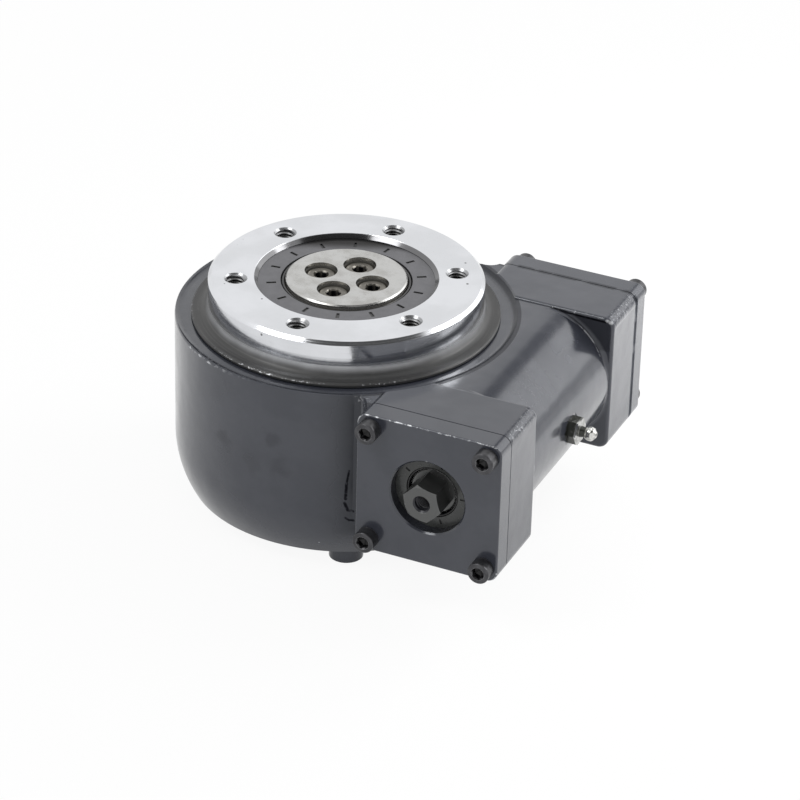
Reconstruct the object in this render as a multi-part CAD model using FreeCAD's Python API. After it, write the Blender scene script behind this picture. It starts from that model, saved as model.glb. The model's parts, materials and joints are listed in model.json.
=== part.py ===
import FreeCAD, Part
import math
import os

os.makedirs("parts", exist_ok=True)

# Enclosed worm slewing drive, in millimetres and degrees. Z = 0 is the plane of the four base bosses,
# Z is the ring's axis, +X points from that axis to the worm and +Y runs along the worm, away from the
# input hexagon.

# Gear pair
wheel_module = 4.0
wheel_width = 26.0
wheel_rim = 5.0
worm_pitch_radius = 17.0
worm_thread_half_length = 31.0
worm_thread_run_out = 3.0

# Turning ring
ring_diameter = 125.0
ring_bolt_circle = 100.0
ring_bolt_count = 6
ring_bolt_start = 30.0
ring_hole_depth = 11.5
ring_hole_edge = 1.0
ring_edge = 1.5
ring_pocket_edge = 1.8
flare_radius = 5.0
collar_depth = 18.0
collar_rim = 1.4
collar_edge = 0.5
collar_lap = 3.4
neck_wall = 6.95
wheel_shoulder = 3.0
wheel_lift = 11.0
bearing_lip = 4.5
bearing_lip_cover = 2.0
retainer_lip = 2.5

# Housing
boss_height = 8.0
boss_radius = 7.8
base_bolt_circle = 120.0
base_boss_count = 4
base_boss_start = 27.0
base_hole_depth = 14.0
drum_wall = 10.9
drum_floor = 12.0
drum_foot_height = 25.0
drum_foot_depth = 6.5
rim_rise = 2.3
rim_rounding = 2.5
recess_gap = 1.5
recess_corner = 5.0
ring_floor_gap = 16.0
pillar_base_radius = 40.0
tunnel_wall = 7.0
block_length = 28.0
block_edge = 1.5
tunnel_fillet = 2.0
web_fillet = 7.2
web_overlap = 0.3

# Worm covers and input
cover_size = 68.0
cover_corner = 5.0
cover_face_span = 166.0
cover_plate = 10.5
cover_edge = 0.8
cover_screw_edge = 6.5
cover_screw_grip = 14.0
spigot_length = 7.5
spigot_wall = 4.2
worm_seal_depth = 5.5
worm_seal_shelf = 3.0
worm_pocket_edge = 0.7
rear_hollow = 2.0
gasket_thickness = 0.5
gasket_inset = 0.3
shaft_shoulder = 3.5
shaft_edge = 0.8
hex_across_flats = 16.0
hex_length = 13.0
hex_reach = 6.0
hex_turn = -45.0
centre_hole_depth = 18.0

# Hub
hub_bolt_circle = 26.0
hub_bolt_start = -1.6
hub_screw_sink = 2.0
hub_screw_grip = 18.0
hub_flange = 3.0
hub_flange_step = 2.5
hub_cap_edge = 0.6
hub_cap_drop = 0.5
hub_seal_drop = 2.0
spacer_height = 18.0

# Standard bearings, seals, screws and threads
main_bearing_bore = 55.0
main_bearing_outside = 90.0
main_bearing_width = 18.0
main_ball_share = 0.63
main_ball_count = 14
worm_bearing_bore = 25.0
worm_bearing_outside = 52.0
worm_bearing_width = 15.0
worm_ball_share = 0.588
worm_ball_count = 9
hub_seal_outside = 80.0
hub_seal_width = 8.0
hub_seal_ticks = 14
hub_tick_start = 6.0
worm_seal_bore = 22.0
worm_seal_outside = 35.0
worm_seal_width = 7.0
worm_seal_ticks = 5
seal_tick_width = 1.0
seal_tick_depth = 0.4
retainer_thickness = 3.0
retainer_width = 6.0
retainer_groove = 1.75
dust_seal_width = 1.5
dust_seal_depth = 1.0
lock_screw_count = 6
lock_screw_length = 14.0
lock_screw_socket = 3.0
m6_radius = 3.0
m6_head_radius = 5.0
m6_head_height = 6.0
m6_socket = 5.0
m8_radius = 4.0
m8_head_radius = 6.5
m8_head_height = 8.0
m8_socket = 6.0
m8_tap_radius = 3.4
m10_tap_radius = 4.25
nipple_thread_radius = 5.0
nipple_thread_length = 6.0
nipple_hex = 11.0
nipple_hex_height = 5.0
nipple_head_radius = 3.25
nipple_seat_depth = 0.6

# Clearances
slip_fit = 0.05
lip_gap = 0.08
ball_gap = 0.1
screw_gap = 0.3
counterbore_gap = 1.0
seat_gap = 0.5
wheel_gap = 0.6
gear_backlash = 0.4
overrun = 1.0

# Places worked out from the values above, from the base upward and from the ring outward
main_ball_diameter = main_ball_share * (main_bearing_outside - main_bearing_bore) / 2
worm_ball_diameter = worm_ball_share * (worm_bearing_outside - worm_bearing_bore) / 2
main_land_inner = (main_bearing_bore + main_bearing_outside - main_ball_diameter) / 4
main_land_outer = (main_bearing_bore + main_bearing_outside + main_ball_diameter) / 4
ring_bore_radius = main_bearing_outside / 2 + slip_fit
neck_radius = ring_bore_radius + neck_wall

pressure_angle = math.radians(20.0)
tooth_foot = 1.25 * wheel_module
least_pitch_radius = neck_radius + wheel_rim + tooth_foot
wheel_teeth = math.ceil(2 * least_pitch_radius / wheel_module - 0.01)
wheel_pitch_radius = wheel_module * wheel_teeth / 2
wheel_tip_radius = wheel_pitch_radius + wheel_module
wheel_root_radius = wheel_pitch_radius - tooth_foot
worm_tip_radius = worm_pitch_radius + wheel_module
worm_root_radius = worm_pitch_radius - tooth_foot
worm_lead = math.pi * wheel_module
lead_slope = worm_lead / (2 * math.pi * worm_pitch_radius)
centre_distance = wheel_pitch_radius + worm_pitch_radius

floor_height = boss_height + drum_floor
ring_bottom = floor_height + ring_floor_gap
lower_bearing_bottom = ring_bottom + retainer_lip + retainer_thickness
lower_bearing_top = lower_bearing_bottom + main_bearing_width
upper_bearing_bottom = lower_bearing_top + spacer_height
upper_bearing_top = upper_bearing_bottom + main_bearing_width
hub_seal_seat = upper_bearing_top + bearing_lip
hub_seal_face = hub_seal_seat + hub_seal_width
overall_height = hub_seal_face + hub_seal_drop
hub_cap_top = overall_height - hub_cap_drop
hub_screw_seat = hub_cap_top - hub_screw_sink - m8_head_height
wheel_bottom = ring_bottom + wheel_lift
wheel_top = wheel_bottom + wheel_width
worm_height = wheel_bottom + wheel_width / 2
collar_bottom = overall_height - collar_depth
annulus_height = collar_bottom - seat_gap

cavity_radius = wheel_tip_radius + wheel_gap
drum_radius = cavity_radius + drum_wall
collar_radius = cavity_radius + collar_lap
ring_radius = ring_diameter / 2
dust_seal_inner = cavity_radius + screw_gap
dust_seal_outer = dust_seal_inner + dust_seal_width

tunnel_bore_radius = worm_bearing_outside / 2 + slip_fit
tunnel_radius = tunnel_bore_radius + tunnel_wall
cover_face = cover_face_span / 2
cover_seat = cover_face - cover_plate
block_face = cover_seat - gasket_thickness
block_inner = block_face - block_length
worm_bearing_outer_end = cover_seat - spigot_length
worm_bearing_inner_end = worm_bearing_outer_end - worm_bearing_width
spigot_bore_radius = worm_bearing_outside / 2 - spigot_wall
shaft_end = -cover_face - hex_reach
hex_start = shaft_end + hex_length
nipple_seat = centre_distance + tunnel_radius - nipple_seat_depth


def vector(x, y, z):
    return FreeCAD.Vector(x, y, z)


origin = vector(0, 0, 0)
sideways = vector(1, 0, 0)
upward = vector(0, 0, 1)


def cylinder(radius, bottom, top, x=0.0, y=0.0):
    return Part.makeCylinder(radius, top - bottom, vector(x, y, bottom))


def tube(outer_radius, inner_radius, bottom, top):
    return cylinder(outer_radius, bottom, top).cut(cylinder(inner_radius, bottom, top))


# A solid of revolution about Z from its (radius, height) corners.
def turned(corners):
    points = [vector(radius, 0, height) for radius, height in corners]
    face = Part.Face(Part.makePolygon(points + points[:1]))
    return face.revolve(origin, upward, 360)


def moved(shape, x, y, z):
    copy = shape.copy()
    copy.translate(vector(x, y, z))
    return copy


def rotated(shape, axis, angle):
    copy = shape.copy()
    copy.rotate(origin, axis, angle)
    return copy


def around_axis(shape, count, start=0.0):
    return [rotated(shape, upward, start + 360.0 * step / count) for step in range(count)]


def places_on_circle(diameter, count, start):
    angles = [math.radians(start + 360.0 * step / count) for step in range(count)]
    return [(diameter / 2 * math.cos(angle), diameter / 2 * math.sin(angle)) for angle in angles]


# Pieces on the worm's axis are made about Z and then laid down, so that a height becomes a place along Y.
def along_worm(shape):
    laid = rotated(shape, sideways, -90)
    return moved(laid, centre_distance, 0, worm_height)


def hexagon(across_flats, bottom, top, start=0.0):
    corners = places_on_circle(2 * across_flats / math.sqrt(3), 6, start)
    points = [vector(x, y, bottom) for x, y in corners]
    face = Part.Face(Part.makePolygon(points + points[:1]))
    return face.extrude(vector(0, 0, top - bottom))


# A square plate with rounded corners, centred on Z.
def rounded_square(size, corner, bottom, top):
    plate = Part.makeBox(size, size, top - bottom, vector(-size / 2, -size / 2, bottom))
    upright = [edge for edge in plate.Edges if abs(edge.tangentAt(edge.FirstParameter).z) > 0.9]
    return plate.makeFillet(corner, upright)


# Rounds every edge that lies flat at one height.
def round_outline(shape, rounding, height):
    chosen = [edge for edge in shape.Edges if all(abs(v.Z - height) < 0.01 for v in edge.Vertexes)]
    return shape.makeFillet(rounding, chosen)


# Rounds the full circular edges of one radius at one height.
def round_edges(shape, rounding, radius, height):
    chosen = []
    for edge in shape.Edges:
        circle = edge.Curve
        if isinstance(circle, Part.Circle) and abs(circle.Radius - radius) < 0.01:
            if abs(circle.Center.z - height) < 0.01:
                chosen.append(edge)
    return shape.makeFillet(rounding, chosen)


# Socket-head cap screw, seat at Z = 0 with its head above and its shank below.
def cap_screw(radius, length, head_radius, head_height, socket):
    edge = 0.1 * head_radius
    tip = 0.25 * radius
    head = turned([(0, 0), (head_radius, 0), (head_radius, head_height - edge),
                   (head_radius - edge, head_height), (0, head_height)])
    shank = turned([(0, 0), (0, -length), (radius - tip, -length), (radius, tip - length), (radius, 0)])
    screw = head.fuse(shank).cut(hexagon(socket, head_height / 2, head_height + overrun))
    return screw.removeSplitter()


# Cutter for a tapped hole with its mouth at Z = 0: a mouth chamfer, the wall and the drill point.
def tapped_hole(radius, depth, chamfer):
    return turned([(0, overrun), (radius + chamfer + overrun, overrun), (radius, -chamfer), (radius, -depth),
                   (0, -depth - 0.6 * radius)])


# Deep-groove ball bearing about Z, its middle plane at Z = 0.
def ball_bearing(bore, outside, width, ball_diameter, ball_count):
    ball_radius = ball_diameter / 2
    pitch_radius = (bore + outside) / 4
    land = ball_radius / 2
    raceway = Part.makeTorus(pitch_radius, ball_radius + ball_gap)
    inner_race = tube(pitch_radius - land, bore / 2, -width / 2, width / 2).cut(raceway)
    outer_race = tube(outside / 2, pitch_radius + land, -width / 2, width / 2).cut(raceway)
    balls = around_axis(Part.makeSphere(ball_radius, vector(pitch_radius, 0, 0)), ball_count)
    pocket_start = vector(pitch_radius - 2 * land, 0, 0)
    pocket = Part.makeCylinder(ball_radius + ball_gap, 4 * land, pocket_start, sideways)
    cage_half = 0.42 * width
    cage = tube(pitch_radius + 0.55 * land, pitch_radius - 0.55 * land, -cage_half, cage_half)
    cage = cage.cut(around_axis(pocket, ball_count))
    pieces = {"inner_race": inner_race, "outer_race": outer_race, "cage": cage}
    pieces["balls"] = Part.makeCompound(balls)
    return pieces


# Lip seal about Z with its face at Z = 0: outer band, ticked face and a lip that just clears the shaft.
def lip_seal(shaft_radius, bore_radius, width, tick_count, tick_start):
    lip = shaft_radius + lip_gap
    rim = bore_radius - slip_fit
    span = rim - lip
    band = 0.3 * width
    lip_back = 0.9 * width
    seal = turned([(lip, -0.15 * width), (lip + 0.06 * span, -0.05 * width),
                   (lip + 0.12 * span, -0.05 * width), (lip + 0.15 * span, -0.12 * width),
                   (lip + 0.18 * span, 0), (rim, 0), (rim, -width), (rim - band, -width), (rim - band, -band),
                   (lip + 0.4 * span, -band), (lip + 0.3 * span, -lip_back), (lip + 0.08 * span, -lip_back),
                   (lip, -0.75 * width), (lip + 0.16 * span, -0.45 * width)])
    tick_start_point = vector(lip + 0.35 * span, -seal_tick_width / 2, -seal_tick_depth)
    tick = Part.makeBox(0.35 * span, seal_tick_width, 2 * seal_tick_depth, tick_start_point)
    return seal.cut(around_axis(tick, tick_count, tick_start))


def hub_bolt_places():
    return places_on_circle(hub_bolt_circle, 4, hub_bolt_start)


def base_boss_places():
    return places_on_circle(base_bolt_circle, base_boss_count, base_boss_start)


def cover_bolt_places():
    half = cover_size / 2 - cover_screw_edge
    return [(half, half), (half, -half), (-half, half), (-half, -half)]


# Outside of the drum: a foot that draws in on one long arc, a straight wall and a rounded rim.
def drum_blank():
    foot_radius = drum_radius - drum_foot_depth
    wall_start = boss_height + drum_foot_height
    rim_height = annulus_height + rim_rise
    swing = (drum_foot_height ** 2 + drum_foot_depth ** 2) / (2 * drum_foot_depth)
    half_angle = math.asin(drum_foot_height / swing) / 2
    foot_start = vector(foot_radius, 0, boss_height)
    middle_radius = drum_radius - swing * (1 - math.cos(half_angle))
    foot_middle = vector(middle_radius, 0, wall_start - swing * math.sin(half_angle))
    foot_end = vector(drum_radius, 0, wall_start)
    rim = vector(drum_radius, 0, rim_height)
    axis_top = vector(0, 0, rim_height)
    axis_bottom = vector(0, 0, boss_height)
    edges = [Part.makeLine(axis_top, axis_bottom), Part.makeLine(axis_bottom, foot_start),
             Part.Arc(foot_start, foot_middle, foot_end).toShape(), Part.makeLine(foot_end, rim),
             Part.makeLine(rim, axis_top)]
    drum = Part.Face(Part.Wire(edges)).revolve(origin, upward, 360)
    return round_edges(drum, rim_rounding, drum_radius, rim_height)


# Worm tunnel: half-round on its outer side, with flat webs above and below that run into the drum.
def worm_tunnel():
    half = block_inner + block_edge
    barrel = along_worm(cylinder(tunnel_radius, -half, half))
    web_start = cavity_radius / 2
    web = Part.makeBox(centre_distance - web_start, 2 * half, 2 * tunnel_radius,
                       vector(web_start, -half, worm_height - tunnel_radius))
    return barrel.fuse(web)


# Square block at an end of the tunnel, rounded towards the tunnel and flat under its cover.
def end_block(side):
    ends = sorted([side * block_inner, side * block_face])
    block = rounded_square(cover_size, cover_corner, ends[0], ends[1])
    return along_worm(round_outline(block, block_edge, side * block_inner))


# Cast fillet around the tunnel where it meets an end block, kept inside the block's corners.
def tunnel_bead(side):
    start = block_inner - tunnel_fillet
    end = block_inner + block_edge
    bead = cylinder(tunnel_radius + tunnel_fillet, start, end)
    groove = Part.makeTorus(tunnel_radius + tunnel_fillet, tunnel_fillet, vector(0, 0, start))
    bead = bead.cut(groove).common(rounded_square(2 * tunnel_radius, cover_corner, start, end))
    if side < 0:
        bead = rotated(bead, sideways, 180)
    return along_worm(bead)


# Cast fillet in the upright corner between the drum and the side of an end block, up to the gasket.
def corner_web(side):
    block_side = centre_distance - cover_size / 2
    x = block_side - web_fillet + web_overlap
    reach = drum_radius + web_fillet - web_overlap
    y = math.sqrt(reach ** 2 - x ** 2)
    drum_share = drum_radius / reach
    bottom = worm_height - tunnel_radius
    top = worm_height + tunnel_radius
    inside = block_side + cover_corner
    outline = [(x * drum_share, y * drum_share), (x, y), (inside, y), (inside, 0.8 * y),
               (0.9 * x * drum_share, 0.9 * y * drum_share)]
    points = [vector(px, side * py, bottom) for px, py in outline]
    prism = Part.Face(Part.makePolygon(points + points[:1])).extrude(vector(0, 0, top - bottom))
    web = prism.cut(cylinder(web_fillet, bottom, top, x, side * y))
    up_to_face = Part.makeBox(2 * inside, 2 * block_face, top - bottom, vector(-inside, -block_face, bottom))
    return web.common(up_to_face)


# Room for the turning collar, sunk into the rim of the drum and the platform over the worm.
def collar_recess():
    radius = drum_radius + recess_gap
    blank = cylinder(radius, annulus_height, overall_height)
    return round_edges(blank, recess_corner, radius, annulus_height)


# Fixed pillar that carries the inner races.
def pillar():
    root = floor_height - overrun
    journal = main_bearing_bore / 2 - slip_fit
    base_top = floor_height + ring_floor_gap / 2
    top = upper_bearing_top - seat_gap
    return turned([(0, root), (pillar_base_radius, root), (pillar_base_radius, base_top),
                   (main_land_inner, ring_bottom), (main_land_inner, lower_bearing_bottom),
                   (journal, lower_bearing_bottom), (journal, top - shaft_edge), (journal - shaft_edge, top),
                   (0, top)])


# Threaded hole and spot face for the grease nipple, along +X at the middle of the tunnel.
def nipple_cutter():
    reach = 2 * tunnel_wall
    start = vector(nipple_seat - reach, 0, worm_height)
    seat = vector(nipple_seat, 0, worm_height)
    hole = Part.makeCylinder(nipple_thread_radius + slip_fit, reach, start, sideways)
    return hole.fuse(Part.makeCylinder(0.68 * nipple_hex, reach, seat, sideways))


def housing():
    body = drum_blank().fuse(worm_tunnel())
    for side in (-1, 1):
        body = body.fuse([end_block(side), tunnel_bead(side), corner_web(side)])
    body = body.cut(collar_recess())
    bosses = [cylinder(boss_radius, 0, floor_height - overrun, x, y) for x, y in base_boss_places()]
    body = body.fuse(bosses).cut(cylinder(cavity_radius, floor_height, overall_height))
    body = body.cut(along_worm(cylinder(tunnel_bore_radius, -cover_face, cover_face)))
    body = body.fuse(pillar())
    cutters = [nipple_cutter()]
    hub_hole_bottom = upper_bearing_top - hub_screw_grip - m8_radius
    for x, y in hub_bolt_places():
        cutters.append(cylinder(m8_radius + slip_fit, hub_hole_bottom, upper_bearing_top, x, y))
    for x, y in base_boss_places():
        cutters.append(cylinder(m8_tap_radius, -overrun, base_hole_depth, x, y))
    cover_hole_end = block_face - cover_screw_grip - m6_radius
    for x, y in cover_bolt_places():
        cutters.append(along_worm(cylinder(m6_radius + slip_fit, cover_hole_end, cover_face, x, y)))
        cutters.append(along_worm(cylinder(m6_radius + slip_fit, -cover_face, -cover_hole_end, x, y)))
    return body.cut(cutters).removeSplitter()


# Turning ring: bolted face, collar with a hollow flare, bearing seats and the neck that carries the wheel.
def output_ring():
    pocket = hub_seal_outside / 2
    lip = main_land_outer - bearing_lip_cover
    shoulder = neck_radius + wheel_shoulder
    collar_top = collar_bottom + collar_rim
    groove = ring_bore_radius + retainer_groove
    groove_bottom = lower_bearing_bottom - retainer_thickness - slip_fit
    ring = turned([(pocket + ring_pocket_edge, overall_height), (ring_radius - ring_edge, overall_height),
                   (ring_radius, overall_height - ring_edge), (ring_radius, collar_top),
                   (collar_radius - collar_edge, collar_top), (collar_radius, collar_top - collar_edge),
                   (collar_radius, collar_bottom),
                   (dust_seal_outer, collar_bottom), (dust_seal_outer, collar_bottom + dust_seal_depth),
                   (dust_seal_inner, collar_bottom + dust_seal_depth), (dust_seal_inner, collar_bottom),
                   (shoulder, collar_bottom), (shoulder, wheel_top), (neck_radius, wheel_top),
                   (neck_radius, ring_bottom), (ring_bore_radius, ring_bottom),
                   (ring_bore_radius, groove_bottom), (groove, groove_bottom), (groove, lower_bearing_bottom),
                   (ring_bore_radius, lower_bearing_bottom), (ring_bore_radius, upper_bearing_top),
                   (lip, upper_bearing_top), (lip, hub_seal_seat), (pocket, hub_seal_seat),
                   (pocket, overall_height - ring_pocket_edge)])
    flare_room = collar_radius - collar_edge - ring_radius - slip_fit
    ring = round_edges(ring, min(flare_radius, flare_room), ring_radius, collar_top)
    hole = tapped_hole(m10_tap_radius, ring_hole_depth, ring_hole_edge)
    hole = moved(hole, ring_bolt_circle / 2, 0, overall_height)
    ring = ring.cut(around_axis(hole, ring_bolt_count, ring_bolt_start))
    return ring.cut(lock_screw_blanks(slip_fit)).removeSplitter()


# Rubber ring under the collar; its lip ends just above the annulus of the housing.
def dust_seal():
    outer = dust_seal_outer - slip_fit
    inner = dust_seal_inner + slip_fit
    tip = annulus_height + lip_gap
    top = collar_bottom + dust_seal_depth
    middle = (inner + outer) / 2
    return turned([(inner, top), (inner, tip + lip_gap), (middle, tip), (outer, tip), (outer, top)])


# Split spring ring with two eyes, in its groove under the lower bearing.
def retaining_ring():
    outer = ring_bore_radius + retainer_groove - slip_fit
    inner = outer - retainer_width
    bottom = lower_bearing_bottom - retainer_thickness
    eye_radius = 0.57 * retainer_width
    mouth_half = 2 * eye_radius
    eye_middle = inner + 0.1 * retainer_width
    eye_angle = math.degrees(math.asin((mouth_half + eye_radius) / eye_middle))
    mouth = Part.makeBox(4 * retainer_width, 2 * mouth_half, 3 * retainer_thickness,
                         vector(inner - retainer_width, -mouth_half, bottom - retainer_thickness))
    ring = tube(outer, inner, bottom, lower_bearing_bottom).cut(mouth)
    for side in (-1, 1):
        eye = cylinder(eye_radius, bottom, lower_bearing_bottom, eye_middle)
        hole = cylinder(eye_radius / 2, bottom, lower_bearing_bottom, eye_middle)
        ring = ring.fuse(rotated(eye, upward, side * eye_angle)).cut(rotated(hole, upward, side * eye_angle))
    return ring.removeSplitter()


# Half the angle of a wheel tooth at a radius, from the involute of the pressure angle.
def tooth_half_angle(radius):
    base_radius = wheel_pitch_radius * math.cos(pressure_angle)
    roll = math.acos(min(1.0, base_radius / radius))
    involute = math.tan(pressure_angle) - pressure_angle - math.tan(roll) + roll
    return math.pi / (2 * wheel_teeth) - gear_backlash / (4 * wheel_pitch_radius) + involute


# Toothed outline of the wheel at a height, turned so that its gaps follow the worm's lead.
def wheel_section(height):
    turn = (height - worm_height) * lead_slope / wheel_pitch_radius
    pitch_angle = 2 * math.pi / wheel_teeth
    tip_half = tooth_half_angle(wheel_tip_radius)
    middle_half = tooth_half_angle(wheel_pitch_radius)
    root_half = tooth_half_angle(wheel_root_radius) + 0.002

    def spot(radius, angle):
        return vector(radius * math.cos(angle), radius * math.sin(angle), height)

    edges = []
    for tooth in range(wheel_teeth):
        centre = turn + (tooth + 0.5) * pitch_angle
        gap = centre + pitch_angle / 2
        root_before = spot(wheel_root_radius, centre - root_half)
        tip_before = spot(wheel_tip_radius, centre - tip_half)
        tip_after = spot(wheel_tip_radius, centre + tip_half)
        root_after = spot(wheel_root_radius, centre + root_half)
        root_next = spot(wheel_root_radius, centre + pitch_angle - root_half)
        arcs = [Part.Arc(root_before, spot(wheel_pitch_radius, centre - middle_half), tip_before),
                Part.Arc(tip_before, spot(wheel_tip_radius, centre), tip_after),
                Part.Arc(tip_after, spot(wheel_pitch_radius, centre + middle_half), root_after),
                Part.Arc(root_after, spot(wheel_root_radius, gap), root_next)]
        edges += [arc.toShape() for arc in arcs]
    return Part.Wire(edges)


def worm_wheel():
    blank = Part.makeLoft([wheel_section(wheel_bottom), wheel_section(wheel_top)], True, True)
    wheel = blank.cut(cylinder(neck_radius + slip_fit, wheel_bottom - overrun, wheel_top + overrun))
    return wheel.cut(lock_screw_blanks(slip_fit))


# Grub screws on the joint line of ring and wheel, half in each.
def lock_screw_blanks(clearance):
    bottom = wheel_bottom - clearance
    top = wheel_bottom + lock_screw_length + clearance
    return around_axis(cylinder(m6_radius + clearance, bottom, top, neck_radius), lock_screw_count)


def wheel_lock_screws():
    socket = hexagon(lock_screw_socket, wheel_bottom - overrun, wheel_bottom + lock_screw_socket)
    sockets = around_axis(moved(socket, neck_radius, 0, 0), lock_screw_count)
    return Part.makeCompound([screw.cut(hole) for screw, hole in zip(lock_screw_blanks(0.0), sockets)])


def hub_cap():
    stem = main_bearing_bore / 2
    flange_radius = main_land_inner - hub_flange_step
    flange_top = upper_bearing_top + hub_flange
    cap = turned([(0, upper_bearing_top), (flange_radius, upper_bearing_top), (flange_radius, flange_top),
                  (stem, flange_top), (stem, hub_cap_top - hub_cap_edge), (stem - hub_cap_edge, hub_cap_top),
                  (0, hub_cap_top)])
    for x, y in hub_bolt_places():
        cap = cap.cut(cylinder(m8_head_radius + counterbore_gap, hub_screw_seat, overall_height, x, y))
        cap = cap.cut(cylinder(m8_radius + screw_gap, upper_bearing_top - overrun, overall_height, x, y))
    return cap.removeSplitter()


def hub_cap_screws():
    length = hub_screw_seat - upper_bearing_top + hub_screw_grip
    screw = cap_screw(m8_radius, length, m8_head_radius, m8_head_height, m8_socket)
    return Part.makeCompound([moved(screw, x, y, hub_screw_seat) for x, y in hub_bolt_places()])


# One right-hand thread; on the side that faces the wheel its middle is at the middle of the shaft.
def worm_thread():
    sunk = worm_root_radius - overrun / 2
    length = 2 * (worm_thread_half_length + worm_lead)

    def half_width(radius):
        return (worm_lead - gear_backlash) / 4 - (radius - worm_pitch_radius) * math.tan(pressure_angle)

    corners = [vector(sunk, 0, -half_width(sunk)), vector(worm_tip_radius, 0, -half_width(worm_tip_radius)),
               vector(worm_tip_radius, 0, half_width(worm_tip_radius)), vector(sunk, 0, half_width(sunk))]
    profile = Part.makePolygon(corners + corners[:1])
    spine = Part.Wire(Part.makeHelix(worm_lead, length, sunk))
    thread = moved(spine.makePipeShell([profile], True, True), 0, 0, -length / 2)
    thread = rotated(thread, upward, 180 - 180 * length / worm_lead)
    wide = worm_tip_radius + overrun
    narrow = sunk - overrun / 2
    far = worm_thread_half_length + worm_thread_run_out
    near = far - (wide - narrow) * 0.65
    run_out = turned([(0, -far), (narrow, -far), (wide, -near), (wide, near), (narrow, far), (0, far)])
    return thread.common(run_out)


def worm_shaft():
    journal = worm_bearing_bore / 2 - slip_fit
    sealed = worm_seal_bore / 2
    shoulder = journal + shaft_shoulder
    neck = worm_thread_half_length + worm_thread_run_out
    inner = worm_bearing_inner_end
    outer = worm_bearing_outer_end
    shaft = turned([(0, hex_start), (sealed - shaft_edge, hex_start), (sealed, hex_start + shaft_edge),
                    (sealed, -outer), (journal, -outer), (journal, -inner), (shoulder, -inner),
                    (shoulder, -neck), (worm_root_radius, -neck), (worm_root_radius, neck), (shoulder, neck),
                    (shoulder, inner), (journal, inner), (journal, outer - shaft_edge),
                    (journal - shaft_edge, outer), (0, outer)])
    corner = hex_across_flats / math.sqrt(3) + slip_fit
    hex_root = hex_start + overrun
    blank = turned([(0, shaft_end), (corner - 1.5 * shaft_edge, shaft_end), (corner, shaft_end + shaft_edge),
                    (corner, hex_root), (0, hex_root)])
    input_hexagon = hexagon(hex_across_flats, shaft_end, hex_root, hex_turn).common(blank)
    hole = rotated(tapped_hole(m8_tap_radius, centre_hole_depth, shaft_edge), sideways, 180)
    hole = moved(hole, 0, 0, shaft_end)
    shaft = shaft.fuse([worm_thread(), input_hexagon]).cut(hole)
    return along_worm(shaft.removeSplitter())


# Plate and spigot shared by both covers, made about Z with the outer face at -cover_face.
def cover_blank():
    plate = rounded_square(cover_size, cover_corner, -cover_face, -cover_seat)
    plate = round_outline(plate, cover_edge, -cover_face)
    spigot = cylinder(tunnel_bore_radius - slip_fit, -cover_seat, -worm_bearing_outer_end)
    blank = plate.fuse(spigot).removeSplitter()
    for x, y in cover_bolt_places():
        blank = blank.cut(cylinder(m6_radius + screw_gap, -cover_face - overrun, -cover_seat, x, y))
    return blank


def front_cover():
    pocket = worm_seal_outside / 2
    pocket_floor = worm_seal_depth + worm_seal_width - cover_face
    shelf_end = pocket_floor + worm_seal_shelf
    passage = worm_bearing_bore / 2 + seat_gap
    inside = overrun - worm_bearing_outer_end
    outside = -cover_face - overrun
    bore = turned([(0, outside), (pocket + worm_pocket_edge + overrun, outside),
                   (pocket, worm_pocket_edge - cover_face), (pocket, pocket_floor), (passage, pocket_floor),
                   (passage, shelf_end), (spigot_bore_radius, shelf_end), (spigot_bore_radius, inside),
                   (0, inside)])
    return along_worm(cover_blank().cut(bore))


def rear_cover():
    hollow = cylinder(spigot_bore_radius, -cover_seat - rear_hollow, overrun - worm_bearing_outer_end)
    return along_worm(rotated(cover_blank().cut(hollow), sideways, 180))


def gasket(side):
    near = min(side * block_face, side * cover_seat)
    far = near + gasket_thickness
    sheet = rounded_square(cover_size - 2 * gasket_inset, cover_corner - gasket_inset, near, far)
    sheet = sheet.cut(cylinder(tunnel_bore_radius, near, far))
    for x, y in cover_bolt_places():
        sheet = sheet.cut(cylinder(m6_radius + screw_gap, near, far, x, y))
    return along_worm(sheet)


def cover_screws(side):
    length = cover_plate + gasket_thickness + cover_screw_grip
    screw = cap_screw(m6_radius, length, m6_head_radius, m6_head_height, m6_socket)
    if side < 0:
        screw = rotated(screw, sideways, 180)
    screws = [along_worm(moved(screw, x, y, side * cover_face)) for x, y in cover_bolt_places()]
    return Part.makeCompound(screws)


def worm_seal():
    seal = lip_seal(worm_seal_bore / 2, worm_seal_outside / 2, worm_seal_width, worm_seal_ticks, 0)
    return along_worm(moved(rotated(seal, sideways, 180), 0, 0, worm_seal_depth - cover_face))


def hub_seal():
    stem = main_bearing_bore / 2
    seal = lip_seal(stem, hub_seal_outside / 2, hub_seal_width, hub_seal_ticks, hub_tick_start)
    return moved(seal, 0, 0, hub_seal_face)


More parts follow.
